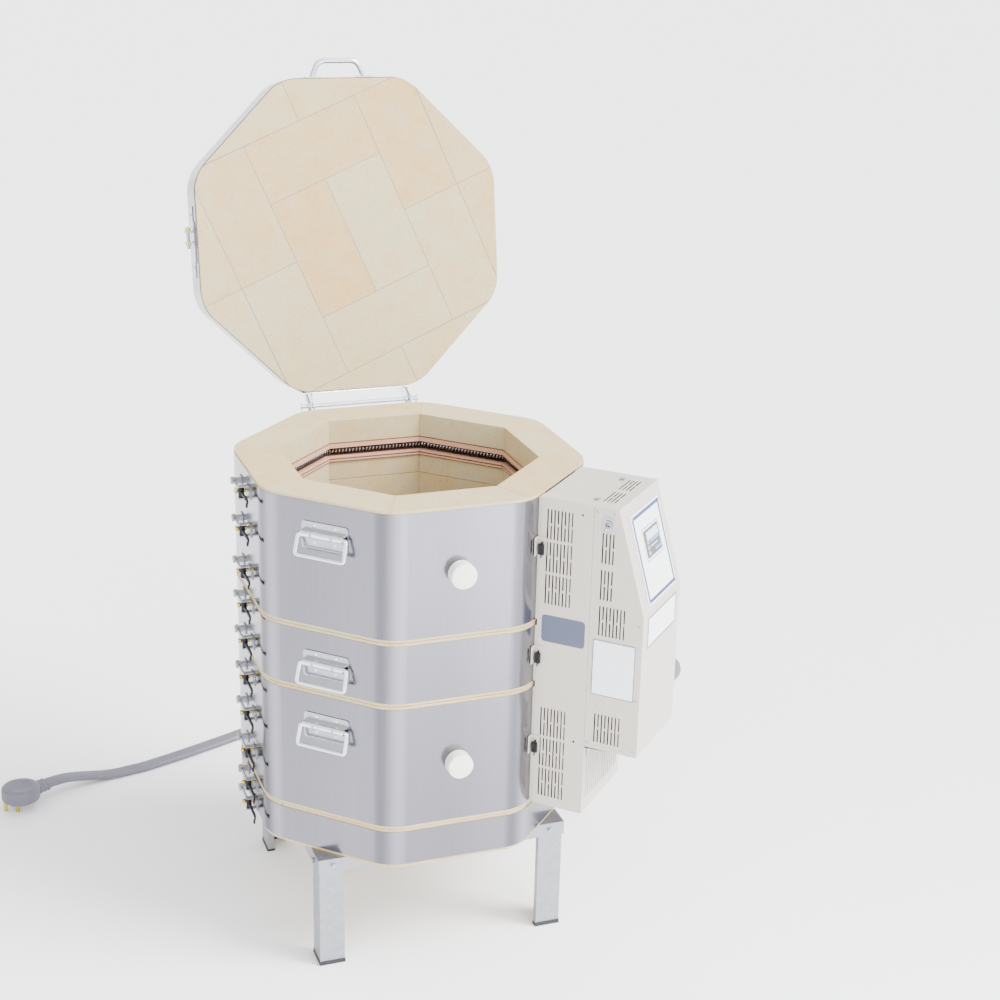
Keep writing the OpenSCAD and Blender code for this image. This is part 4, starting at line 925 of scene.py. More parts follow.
class KILN_OT_cord(Operator):
    """Flat supply cord, its moulded plug and the plug's blades"""

    bl_idname = "kiln.cord"
    bl_label = "Power cord"

    def execute(self, context):
        c = sizes("cord")
        path = through(CORD_ROUTE, 5)
        run = np.gradient(path, axis=0)
        level = np.column_stack([-run[:, 1], run[:, 0], np.zeros(len(run))])
        cord = make(
            "power_cord_flex",
            {"cord": [sweep(path, level, rounded(c.wide, c.thick, 0.46 * c.thick, 5))]},
            "root", ["power_cord"],
        )
        plug = make(
            "plug_body", {"cord": self.plug(c)}, "root", ["cord_plug"], 0.0012
        )
        blades = []
        for x, y, angle in PLUG_BLADES:
            blade = box(6.5 * MM, 2.2 * MM, c.plug_lift + 6.5 * MM, (0, 1.1 * MM, 0))
            shift = PLUG_PLACE + np.array([x * MM, y * MM, (c.plug_lift + 6.5 * MM) / 2])
            blades.append(placed(blade, lambda p: about(p, "Z", math.radians(angle)) + shift))
        prongs = make("plug_blades", {"yellow zinc": blades}, "root", (), 0.0006)
        return {"FINISHED"}

    def plug(self, c):
        """Round low body with a shallow dish and rolled rims, and a ribbed neck that narrows."""
        r, low, high = c.plug / 2, c.plug_lift, c.plug_lift + c.plug_high
        body = lathe(
            [
                [0.1 * MM, high - 1.5 * MM], [0.55 * r, high - 1.5 * MM], [0.62 * r, high],
                [0.84 * r, high], [0.94 * r, high - 1.6 * MM], [0.985 * r, high - 4 * MM],
                [r, high - 8 * MM], [r, low + 5 * MM], [0.97 * r, low + 2 * MM],
                [0.9 * r, low], [0.1 * MM, low],
            ],
            "z", sides=56,
        )
        s = np.linspace(0, 1, 34)
        reach = 59 * MM
        line = np.column_stack([0.3 * r + (reach - 0.3 * r) * s, 0 * s, 0 * s + 32 * MM])
        ribs = 1 - 0.07 * (np.sin(2 * np.pi * 5 * s) > 0) * (s > 0.42)
        scale = np.column_stack([(1 - 0.14 * s) * ribs, (1 - 0.10 * s) * ribs])
        neck = sweep(line, (0, 1, 0), rounded(40 * MM, 18 * MM, 7 * MM), scale)
        neck = placed(neck, lambda p: about(p, "Z", PLUG_HEADING) + PLUG_PLACE)
        return [placed(body, lambda p: p + PLUG_PLACE), neck]


# ---------------------------------------------------------------- body


def octagon(apothem, radius, steps=12):
    """Rounded octagon: between two faces the outline turns by an arc of the radius about a
    centre that lies on the corner's line, and the faces are the straights between the arcs."""
    k = np.arange(8)[:, None]
    centre = SIDE * (k + 0.5) - np.pi / 2
    around = SIDE * (k + np.linspace(0, 1, steps + 1)[None]) - np.pi / 2
    out = (apothem - radius) / math.cos(HALF_SIDE)
    x = out * np.cos(centre) + radius * np.cos(around)
    y = out * np.sin(centre) + radius * np.sin(around)
    return np.stack([x, y], -1).reshape(-1, 2)


def painted_bend_reflection(steps=12):
    """Painted reflection along the octagon's outline: how far each point leans to the dark or
    bright side of its bend, a sine over the arc, nothing on the flats."""
    return np.tile(-np.sin(2 * np.pi * np.linspace(0, 1, steps + 1)), 8)


def jacket(low, high):
    """Thin sheet round the octagon: its four-cornered section is carried round the outline."""
    b = sizes("body")
    outer = octagon(b.apothem, b.corner)
    inner = octagon(b.apothem - b.jacket, b.corner - b.jacket)
    return skin(levels([outer, outer, inner, inner], [low, high, high, low]), closed=True)


def slab(apothem, radius, low, high):
    """Rounded octagon carried straight up."""
    plan = octagon(apothem, radius)
    return skin(levels([plan, plan], [low, high]))


def joint_core(low, high):
    """Slab a little smaller than its bricks, which shows between them as their joints."""
    b = sizes("body")
    inset = 1.2 * MM
    return slab(b.apothem - b.jacket - inset, b.corner - inset, low, high)


def wall_brick(face, low, row):
    """Brick of one wall. Its plan has an outer edge, the flat and half of each corner's arc, and a
    straight inner edge; a point at depth share f lies f of the way from outer to inner edge. The
    profile of depth share and height, with the element's groove in it, is carried along the
    plan."""
    b = sizes("body")
    skin_gap = b.jacket + SEAT
    apothem, radius = b.apothem - skin_gap, b.corner - skin_gap
    a = np.linspace(0, HALF_SIDE, 6)
    corner_x = (apothem - radius) * math.tan(HALF_SIDE) + radius * np.sin(a)
    corner_y = -(apothem - radius) - radius * np.cos(a)
    x = np.concatenate([-corner_x[::-1], corner_x])
    outer = np.column_stack([x, np.concatenate([corner_y[::-1], corner_y])])
    inner_apothem = apothem - b.wall
    share = x / corner_x[-1]
    inner = np.column_stack(
        [share * inner_apothem * math.tan(HALF_SIDE), np.full(len(x), -inner_apothem)]
    )
    slip = 0.12 * b.joint
    outer[:, 0] -= slip * share
    inner[:, 0] -= slip * share
    g, back = b.groove_high / 2, 1 - b.groove_deep / b.wall
    bottom, top = low + b.joint / 2, low + b.course - b.joint / 2
    f = np.array([0, 0, 1, 1, back, back, 1, 1])
    z = np.array([bottom, top, top, row + g, row + g, row - g, row - g, bottom])
    plan = outer[:, None] * (1 - f)[None, :, None] + inner[:, None] * f[None, :, None]
    grid = np.concatenate([plan, np.broadcast_to(z[None, :, None], (*plan.shape[:2], 1))], -1)
    return placed(skin(grid), lambda p: about(p, "Z", SIDE * face))


def clipped(corners, normal, reach):
    """What of a convex outline lies behind a line: corners behind it stay, and each edge that
    crosses it adds the point where it does."""
    over = corners @ normal - reach
    ahead, ahead_over = np.roll(corners, -1, 0), np.roll(over, -1)
    crossing = over * ahead_over < 0
    share = over / np.where(crossing, over - ahead_over, 1.0)
    meeting = corners + share[:, None] * (ahead - corners)
    keep = np.stack([over <= 0, crossing], 1).ravel()
    return np.stack([corners, meeting], 1).reshape(-1, 2)[keep]


def drawn_in(corners, distance):
    """Outline with every edge moved inwards: a corner moves by the sum of its two edges' inward
    directions, over one plus their product."""
    along = unit(np.roll(corners, -1, 0) - corners)
    inward = np.column_stack([-along[:, 1], along[:, 0]])
    before = np.roll(inward, 1, 0)
    push = (inward + before) / (1 + np.sum(inward * before, -1, keepdims=True))
    return corners + distance * push


# Bricks of a slab as shares of a brick's long side: from and to along it, from and to across it
SLAB_SHARES = (
    (-0.5, 0.0, -0.5, 0.5), (0.0, 0.5, -0.5, 0.5), (-0.5, 0.5, 0.5, 1.0), (-0.5, 0.5, -1.0, -0.5),
    (0.5, 1.0, -1.0, 0.0), (0.5, 1.0, 0.0, 1.0), (-1.0, -0.5, -1.0, 0.0), (-1.0, -0.5, 0.0, 1.0),
    (1.0, 1.6, -1.0, 0.0), (1.0, 1.6, 0.0, 1.0), (-1.6, -1.0, -1.0, 0.0), (-1.6, -1.0, 0.0, 1.0),
    (-1.6, 0.0, 1.0, 1.6), (0.0, 1.6, 1.0, 1.6), (-1.6, 0.0, -1.6, -1.0), (0.0, 1.6, -1.6, -1.0),
)
# How warm each of those bricks is
LID_TINTS = (
    0.92, 0.12, 0.15, 0.62, 0.72, 0.30, 0.50, 0.12, 0.42, 0.55, 0.30, 0.12, 0.18, 0.40, 0.30, 0.35
)
SLAB_TURN = math.radians(-22.5)


def slab_bricks(low, high):
    """Bricks of a slab: each rectangle of the pattern is cut off at the rounded octagon's tangents,
    drawn in by half a joint and given a small chamfer above and below."""
    b = sizes("body")
    skin_gap = b.jacket + SEAT
    apothem, radius = b.apothem - skin_gap, b.corner - skin_gap
    chamfer = 0.5 * MM
    spin = np.array(
        [[math.cos(SLAB_TURN), math.sin(SLAB_TURN)], [-math.sin(SLAB_TURN), math.cos(SLAB_TURN)]]
    )
    middles = (apothem - radius) / math.cos(HALF_SIDE)
    bricks = []
    for x0, x1, y0, y1 in SLAB_SHARES:
        shares = np.array([[x0, y0], [x1, y0], [x1, y1], [x0, y1]])
        plan = (shares * b.brick_long) @ spin
        for tangent in range(48):
            a = SIDE * tangent / 6 - np.pi / 2
            centre = SIDE * (tangent // 6 + 0.5) - np.pi / 2
            normal = np.array([math.cos(a), math.sin(a)])
            middle = middles * np.array([math.cos(centre), math.sin(centre)])
            plan = clipped(plan, normal, middle @ normal + radius)
        far = np.linalg.norm(np.roll(plan, -1, 0) - plan, axis=1) > 2 * MM
        plan = drawn_in(plan[far], b.joint / 2)
        small = drawn_in(plan, chamfer)
        heights = [low, low + chamfer, high - chamfer, high]
        bricks.append(skin(levels([small, plan, plan, small], heights)))
    return bricks


RINGS = (("bottom_ring", 0, 2), ("middle_ring", 2, 1), ("top_ring", 3, 2))


class KILN_OT_rings(Operator):
    """Brick rings of the firing chamber, each in its stainless jacket"""

    bl_idname = "kiln.rings"
    bl_label = "Brick rings and jackets"

    def execute(self, context):
        b = sizes("body")
        rng = np.random.default_rng(11)
        for name, first, courses in RINGS:
            low = b.floor_top + first * b.course
            high = low + courses * b.course
            bricks = [
                wall_brick(face, low + c * b.course, low + (c + 1) * b.course - b.row_drop)
                for c in range(courses)
                for face in range(8)
            ]
            tints = rng.uniform(0.05, 0.45, len(bricks))
            ring = make(
                name + "_brickwork", {"brick": bricks}, "root",
                [name + "_bricks"], 0.0004, tints,
            )
            # Painted reflection: the bend attribute darkens one side of each jacket bend and
            # lightens the other
            sheet = make(
                name + "_steel",
                {"stainless": [jacket(low + b.bare, high - b.bare)]},
                "root", [name + "_jacket"], bend=np.tile(painted_bend_reflection(), 4),
            )
            if courses == 2:
                bore = rod(b.peephole, b.wall + 10 * MM)
                bored(ring, at_face(bore, 0, 0, -b.wall - 5 * MM, low + b.course))
                hole = rod(b.peephole + 2.8 * MM, 6 * MM)
                bored(sheet, at_face(hole, 0, 0, -3 * MM, low + b.course))
        return {"FINISHED"}


class KILN_OT_floor(Operator):
    """Brick floor of the kiln in its stainless jacket"""

    bl_idname = "kiln.floor"
    bl_label = "Brick floor"

    def execute(self, context):
        b = sizes("body")
        high = b.floor_top - 0.4 * MM
        core = joint_core(b.stand + 0.4 * MM, high - 0.4 * MM)
        bricks = slab_bricks(b.stand, high)
        rng = np.random.default_rng(5)
        make(
            "floor_brickwork", {"brick": bricks, "joint": [core]}, "root",
            ["floor_slab"], 0.0, rng.uniform(0.05, 0.5, len(bricks)),
        )
        # Painted reflection: the bend attribute darkens one side of each jacket bend and lightens
        # the other
        make(
            "floor_steel", {"stainless": [jacket(b.stand + b.bare, b.floor_top - b.bare)]},
            "root", ["floor_jacket"], bend=np.tile(painted_bend_reflection(), 4),
        )
        return {"FINISHED"}


# ---------------------------------------------------------------- elements


def channel_run(face, row, depth, z):
    """Carries a section of depth from the axis and height along a face between its mitres."""
    ends = depth * math.tan(HALF_SIDE) - SEAT
    grid = np.stack([np.column_stack([s * ends, -depth, z + row]) for s in (-1, 1)])
    return placed(skin(grid), lambda p: about(p, "Z", SIDE * face))


def holder(face, row):
    """Fired channel for a coil: a block's section with a round cavity that opens inwards between
    two lips, the lower of them scored along its middle."""
    b, e = sizes("body"), sizes("elements")
    inner = wall_face()
    front, back = inner - e.proud, inner + b.groove_deep - SEAT
    high = b.groove_high / 2 - 0.5 * MM
    middle = inner + e.cavity / 2 + 2 * MM
    mouth = high - e.lip
    half = math.pi - math.asin(mouth / (e.cavity / 2))
    a = np.linspace(-half, half, 19)
    score = -(mouth + high) / 2
    low = [front, front + 3 * MM, front]
    low_z = [score - 1.2 * MM, score, score + 1.2 * MM]
    depth = np.concatenate(
        [[front, front, back, back, front, *low, front], middle + e.cavity / 2 * np.cos(a)]
    )
    z = np.concatenate(
        [[mouth, high, high, -high, -high, *low_z, -mouth], e.cavity / 2 * np.sin(a)]
    )
    return channel_run(face, row, depth, z)


def holder_gap_shade(face, row, z):
    """Painted shade along a holder's gap: a thin dark low bar whose section is a flat oval, let
    into the front at a height from the row's middle."""
    front = wall_face() - sizes("elements").proud
    oval = circle(12) * np.array([0.9, 0.75]) * MM
    return channel_run(face, row, front + 0.5 * MM + oval[:, 0], z + oval[:, 1])


def holder_gap_shades(face, row):
    """Painted shade in the joints above and below a holder, and in the score along its lower lip,
    as dark bars.
    """
    b, e = sizes("body"), sizes("elements")
    high = b.groove_high / 2 - 0.5 * MM
    mouth = high - e.lip
    return [holder_gap_shade(face, row, z) for z in (high, -(mouth + high) / 2, -high)]


def painted_cavity_shade(face, row):
    """Painted shade in the cavity behind the coil: the part of a thin ring behind the coil."""
    e = sizes("elements")
    middle = wall_face() + e.cavity / 2 + 2 * MM
    a = np.linspace(-2.45, 2.45, 19)
    r = e.cavity / 2 * np.concatenate([np.full(19, 0.995), np.full(19, 0.94)])
    a = np.concatenate([a, a[::-1]])
    return channel_run(face, row, middle + r * np.cos(a), r * np.sin(a))


def coil(row):
    """Element of one row. Its middle follows an octagon with rounded corners, and the wire turns
    round it at the coil's radius, which fades to nothing at both ends."""
    e = sizes("elements")
    apothem = wall_face() + e.cavity / 2 + 2 * MM
    flat = 2 * (apothem - e.corner) * math.tan(HALF_SIDE)
    arc = e.corner * SIDE
    start = 19.5 * MM
    steps = 14
    s = np.linspace(start, 8 * (flat + arc) - start, e.curls * steps + 1)
    q = s + flat / 2
    k = np.floor(q / (flat + arc))
    rest = q - k * (flat + arc)
    face = SIDE * (1 + k) - np.pi / 2
    bend = np.maximum(0, rest - flat) / e.corner
    along = np.minimum(rest, flat) - flat / 2
    out = np.column_stack([np.cos(face), np.sin(face)])
    tangent = np.column_stack([-out[:, 1], out[:, 0]])
    turned = np.column_stack([np.cos(face + bend), np.sin(face + bend)])
    middle = (apothem - e.corner) * out + along[:, None] * tangent + e.corner * turned
    step = np.arange(len(s))
    phase = 2 * np.pi * step / steps
    fade = np.clip(np.minimum(step, len(s) - 1 - step) / steps - 0.25, 0, 1)
    radius = (e.coil - e.wire) / 2 * fade * fade * (3 - 2 * fade)
    lean = np.column_stack([np.cos(phase)[:, None] * turned, np.sin(phase)])
    centre = np.column_stack([middle, np.full(len(s), row)]) + radius[:, None] * lean
    return sweep(centre, lean, e.wire / 2 * circle(6))


class KILN_OT_elements(Operator):
    """Heating coils in their fired holders, with terminals and thermocouple"""

    bl_idname = "kiln.elements"
    bl_label = "Heating elements"

    def execute(self, context):
        b = sizes("body")
        rows = [b.floor_top + (i + 1) * b.course - b.row_drop for i in range(5)]
        seats = [(face, z) for face in range(8) for z in rows]
        make(
            "element_channels",
            {
                "holder": [holder(*seat) for seat in seats],
                # Painted shade in the cavities behind the coils
                "channel": [painted_cavity_shade(*seat) for seat in seats],
            },
            "root", ["element_holders"], 0.0005,
        )
        # Painted shade: dark bars in the gaps along the holders and in their scores
        lines = [line for seat in seats for line in holder_gap_shades(*seat)]
        make("holder_joints", {"channel": lines}, "root")
        make(
            "top_coil", {"element": [coil(rows[4])]}, "root",
            ["top_heating_coil"],
        )
        make(
            "lower_coils", {"element": [coil(z) for z in rows[:4]]}, "root",
            ["lower_heating_coils"],
        )
        from_cad("terminal_posts", ["element_terminals"], "zinc", "root", 0.0003)
        from_cad("thermocouple_tube", ["thermocouple"], "ceramic", "root", 0.0005)
        return {"FINISHED"}


# ---------------------------------------------------------------- stand


class KILN_OT_stand(Operator):
    """Angle-iron frame on four folded legs with rubber caps"""

    bl_idname = "kiln.stand"
    bl_label = "Stand"

    def execute(self, context):
        from_cad("folded_legs", ["stand_legs"], "galvanised", "root", 0.0007)
        from_cad("angle_frame", ["stand_frame"], "galvanised", "root", 0.0007)
        from_cad("hex_bolts", ["stand_bolts"], "zinc", "root", 0.0004)
        from_cad("rubber_caps", ["leg_caps"], "rubber", "root", 0.0006)
        return {"FINISHED"}


# ---------------------------------------------------------------- lid


class KILN_OT_lid(Operator):
    """Open lid: brick slab, stainless band with its clamp, and handle"""

    bl_idname = "kiln.lid"
    bl_label = "Lid"

    def execute(self, context):
        b, lid = sizes("body"), sizes("lid")
        low = b.floor_top + 5 * b.course
        high = low + lid.thick
        core = joint_core(low + 0.35 * MM, high - 0.35 * MM)
        make(
            "lid_brickwork",
            {"brick": [opened(p) for p in slab_bricks(low, high)], "joint": [opened(core)]},
            "lid", ["lid_slab"], 0.0, LID_TINTS,
        )
        # Painted reflection: the bend attribute darkens one side of each band bend and lightens the
        # other
        make(
            "lid_steel", {"stainless": [opened(jacket(low + lid.bare, high - lid.bare))]},
            "lid", ["lid_band"], bend=np.tile(painted_bend_reflection(), 4),
        )
        middle = (low + high) / 2
        self.clamp(middle)
        self.handle(lid, middle)
        return {"FINISHED"}

    def clamp(self, z):
        """Strap over the band's ends, two folded ears, and the bolt that draws them together."""
        strap = [
            plate(130 * MM, 22 * MM, 1.2 * MM, 4 * MM),
            plate(76 * MM, 40 * MM, 1.6 * MM, 5 * MM),
            box(3 * MM, 14 * MM, 20 * MM, (0, -1 * MM, 0)),
            box(3 * MM, 14 * MM, 20 * MM, (19 * MM, -1 * MM, 0)),
            rod(6 * MM, 40 * MM, "x", (-12 * MM, -9 * MM, 0)),
            rivet(5 * MM, 1.6 * MM, (-46 * MM, -1.2 * MM, 0)),
            rivet(5 * MM, 1.6 * MM, (50 * MM, -1.2 * MM, 0)),
        ]
        nuts = [
            lathe([[5 * MM, 0], [5 * MM, 5 * MM]], "x", (21 * MM, -9 * MM, 0), 6),
            lathe([[5 * MM, 0], [5 * MM, 4 * MM]], "x", (-6.5 * MM, -9 * MM, 0), 6),
        ]
        seat = lambda p: opened(at_face(p, LATCH_FACE, 0, SEAT, z))
        make(
            "lid_band_clamp",
            {"zinc": [seat(p) for p in strap], "yellow zinc": [seat(p) for p in nuts]},
            "lid", ["lid_clamp"], 0.0005,
        )

    def handle(self, lid, z):
        """Bent bar between two riveted feet."""
        half, reach = lid.handle_long / 2, lid.handle_reach - lid.handle_d / 2
        inner = half - 1.3 * lid.handle_d
        path = eased(
            [[-half, -1.5 * MM, 0], [-inner, -reach, 0], [inner, -reach, 0], [half, -1.5 * MM, 0]],
            14 * MM, 8,
        )
        parts = [sweep(path, (0, 0, 1), lid.handle_d / 2 * circle(20))]
        for s in (-1, 1):
            parts.append(plate(36 * MM, 22 * MM, 3 * MM, 6 * MM, (s * half, 0, 0)))
            parts += [
                rivet(6 * MM, 2.4 * MM, (s * half + h * 12 * MM, -3 * MM, 0)) for h in (-1, 1)
            ]
        make(
            "lid_bar_handle",
            {"bright zinc": [opened(at_face(p, 0, 0, SEAT, z)) for p in parts]},
            "lid", ["lid_handle"], 0.0006,
        )


class KILN_OT_hinge(Operator):
    """Lid hinge: the lid's leaf, the body's bracket with its stop, and the rod"""

    bl_idname = "kiln.hinge"
    bl_label = "Lid hinge"

    def execute(self, context):
        from_cad("hinge_leaf", ["lid_hinge_leaf"], "bright zinc", "lid", 0.0006)
        from_cad("hinge_bracket", ["body_hinge_bracket"], "zinc", "root", 0.0006)
        from_cad("hinge_pin", ["hinge_rod"], "bright zinc", "root", 0.0005)
        return {"FINISHED"}


# ---------------------------------------------------------------- fittings

HANDLE_RINGS = ("top", "middle", "bottom")
HANDLE_DROP, RIDGE_DROP, RIDGE_OUT = 40 * MM, 19 * MM, 8.5 * MM


def handle_tops():
    """Heights of the handle plates' upper edges, from the top ring down."""
    b = sizes("body")
    return [b.floor_top + courses * b.course - HANDLE_DROP for courses in (5, 3, 2)]


class KILN_OT_handles(Operator):
    """Riveted handle plates with their ridges, and the six swinging bails"""

    bl_idname = "kiln.handles"
    bl_label = "Ring handles"

    def execute(self, context):
        f = sizes("fittings")
        faces = (("left", LEFT_HANDLE_FACE), ("right", RIGHT_HANDLE_FACE))
        parts = {"zinc": [], "bright zinc": []}
        for _, face in faces:
            for top in handle_tops():
                for finish_name, group in self.plate(f).items():
                    parts[finish_name] += [at_face(p, face, 0, SEAT, top) for p in group]
        make("handle_backs", parts, "root", ["handle_plates"], 0.0005)
        for side, face in faces:
            for ring, top in zip(HANDLE_RINGS, handle_tops()):
                node = f"{ring}_{side}_bail"
                bar = at_face(self.bail(f), face, 0, SEAT + RIDGE_OUT, top - RIDGE_DROP)
                make(
                    node + "_bar", {"bright zinc": [bar]}, node + "_body", [node],
                    0.0006,
                )
        return {"FINISHED"}

    def plate(self, f):
        """Back plate, a hollow ridge with a U-shaped section along it, a turned-out foot and
        rivets."""
        outer, wall = f.ridge / 2, 1.7 * MM
        a = np.linspace(np.pi / 2, -np.pi / 2, 11)
        y_out = np.concatenate([[-0.8 * MM], -RIDGE_OUT - outer * np.cos(a), [-0.8 * MM]])
        z_out = np.concatenate([[outer], outer * np.sin(a), [-outer]])
        inner = outer - wall
        y_in = np.concatenate([[-0.8 * MM], -RIDGE_OUT - inner * np.cos(a[::-1]), [-0.8 * MM]])
        z_in = np.concatenate([[-inner], inner * np.sin(a[::-1]), [inner]])
        y, z = np.concatenate([y_out, y_in]), np.concatenate([z_out, z_in]) - RIDGE_DROP
        half = f.plate_wide / 2 - 4 * MM
        ridge = skin(np.stack([np.column_stack([np.full(len(y), x), y, z]) for x in (-half, half)]))
        start = (4 * MM - half, -1.6 * MM, 3 * MM - f.plate_high)
        foot = rod(3.4 * MM, 2 * half - 8 * MM, "x", start, 14)
        back = plate(f.plate_wide, f.plate_high, 1.5 * MM, 5 * MM, (0, 0, -f.plate_high / 2))
        rivet_x = f.plate_wide / 4.5
        heads = [
            rivet(6 * MM, 2.2 * MM, (s * rivet_x, -1.5 * MM, -drop * MM))
            for s in (-1, 1)
            for drop in (5.5, 34.0)
        ]
        pips = [
            rivet(5 * MM, 0.8 * MM, (s * rivet_x, 0.2 * MM - RIDGE_OUT - outer, -RIDGE_DROP))
            for s in (-1, 1)
        ]
        return {"zinc": [back, foot, *pips], "bright zinc": [ridge, *heads]}

    def bail(self, f):
        """Bent bar from one stub round the grip to the other, hung at its lean."""
        x = (f.plate_wide + f.bail) / 2 - 0.3 * f.bail
        low = f.plate_wide / 2 + 6 * MM - f.bail / 2
        stub = 12 * MM
        path = eased(
            [
                [stub - x, 0, 0], [-x, 0, 0], [-low, -f.bail_drop, 0],
                [low, -f.bail_drop, 0], [x, 0, 0], [x - stub, 0, 0],
            ],
            5.5 * MM,
        )
        bar = sweep(path, (0, 0, 1), f.bail / 2 * circle(16))
        return placed(bar, lambda p: about(p, "X", np.pi / 2 - f.bail_lean))


class KILN_OT_plugs(Operator):
    """Ceramic plugs of the two peepholes"""

    bl_idname = "kiln.plugs"
    bl_label = "Peephole plugs"

    def execute(self, context):
        b, f = sizes("body"), sizes("fittings")
        r, high = f.knob / 2, f.knob_high
        stem, tip = b.peephole / 2 - 0.6 * MM, b.peephole / 2 - 3.1 * MM
        profile = [
            [0.1 * MM, high], [0.9 * r, high], [0.955 * r, high - 0.4 * MM],
            [0.99 * r, high - 1.2 * MM], [r, high - 2.2 * MM], [r, 1.2 * MM],
            [0.97 * r, 0.3 * MM], [0.9 * r, 0], [stem, 0], [stem, -1 * MM],
            [tip + 0.2 * MM, -61 * MM], [tip - 1 * MM, -62 * MM], [0.1 * MM, -62 * MM],
        ]
        for name, courses in (("upper", 4), ("lower", 1)):
            z = b.floor_top + courses * b.course
            knob = at_face(lathe(profile, "-y", sides=64), 0, 0, SEAT, z)
            make(
                name + "_plug_knob", {"ceramic": [knob]}, name + "_plug",
                [name + "_peephole_plug"],
            )
        return {"FINISHED"}


# Drop of each latch below the kiln's rim, in millimetres
LATCH_DROPS = (37, 105, 182, 245.5, 313, 382, 451, 525, 589, 627.5)
PIN_T, PIN_N, KEEPER_T = 24 * MM, 13 * MM, 60 * MM


class KILN_OT_latches(Operator):
    """Draw latches down the seam: yokes, keepers, draw rods with their nuts, and levers"""

    bl_idname = "kiln.latches"
    bl_label = "Latches"

    def execute(self, context):
        b, f = sizes("body"), sizes("fittings")
        rim = b.floor_top + 5 * b.course
        steel, rods, nuts = [], [], []
        for number, drop in enumerate(LATCH_DROPS, 1):
            seat = lambda p: at_face(p, LATCH_FACE, PIN_T, SEAT, rim - drop * MM)
            steel += [seat(p) for p in self.bracket(f)]
            rods.append(seat(rod(f.draw_rod, 58.5 * MM, "x", (-68.3 * MM, -PIN_N, 0), 14)))
            nuts += [seat(p) for p in self.nuts()]
            node = f"latch_lever_{number}"
            lever = [seat(p) for p in self.lever(f)]
            make(
                node + "_arm", {"black oxide": lever}, node + "_body", [node],
                0.0005,
            )
        make(
            "latch_yokes", {"galvanised": steel}, "root", ["latch_brackets"], 0.0004
        )
        make(
            "latch_rods", {"yellow zinc": nuts, "zinc": rods}, "root",
            ["latch_draw_rods"], 0.0004,
        )
        return {"FINISHED"}

    def bracket(self, f):
        """Base plate and two ears round the lever's pin, and the keeper round the draw rod."""
        parts = [
            plate(30 * MM, 22.6 * MM, 1.5 * MM, 3 * MM),
            rod(5 * MM, 24.6 * MM, "z", (0, -PIN_N, -12.3 * MM)),
            rivet(4 * MM, 1.2 * MM, (12 * MM, -1.5 * MM, 0)),
            rivet(4 * MM, 1.2 * MM, (-12 * MM, -1.5 * MM, 0)),
        ]
        for s in (-1, 1):
            parts.append(box(10 * MM, PIN_N + 4.25 * MM, 2 * MM, (0, -0.75 * MM, s * 10.3 * MM)))
        keeper = [
            plate(20 * MM, 18 * MM, 1.5 * MM, 3 * MM, (-KEEPER_T, 0, 0)),
            box(8 * MM, PIN_N + 4.25 * MM, 9 * MM, (-KEEPER_T, -0.75 * MM, 0)),
        ]
        return parts + keeper

    def nuts(self):
        """Barrel through the yoke with its two collars, and the nut at the rod's far end."""
        barrel = [
            [3 * MM, 0], [4 * MM, 0.6 * MM], [4 * MM, 5.5 * MM], [3.2 * MM, 6.2 * MM],
            [3.2 * MM, 13.8 * MM], [4 * MM, 14.5 * MM], [4 * MM, 19.4 * MM], [3 * MM, 20 * MM],
        ]
        return [
            lathe(barrel, "-y", (-9.5 * MM, 10 * MM - PIN_N, 0), 20),
            lathe([[4.5 * MM, 0], [4.5 * MM, 5 * MM]], "x", (-70.3 * MM, -PIN_N, 0), 6),
        ]

    def lever(self, f):
        """Hub, and a flat arm that kicks out near its end and widens to a rounded tip."""
        reach, kick = f.lever, f.lever / 12
        path = eased([[3 * MM, 0, 0], [0.75 * reach, 0, 0], [reach, -kick, 0]], 9 * MM, 5)
        s = np.linspace(0, 1, len(path))
        wide = 1 + 0.5 * np.clip((s - 0.75) / 0.25, 0, 1) ** 2
        scale = np.column_stack([wide, 1 - 0.35 * s])
        arm = sweep(path, (0, 0, 1), rounded(5.2 * MM, 4.4 * MM, 1.2 * MM, 3), scale)
        bore, hub = 2.8 * MM * circle(24), 5 * MM * circle(24)
        ring = skin(levels([hub, hub, bore, bore], [-9 * MM, 9 * MM, 9 * MM, -9 * MM]), closed=True)
        return [placed(p, lambda q: q + np.array([0, -PIN_N, 0])) for p in (arm, ring)]


# ---------------------------------------------------------------- control box


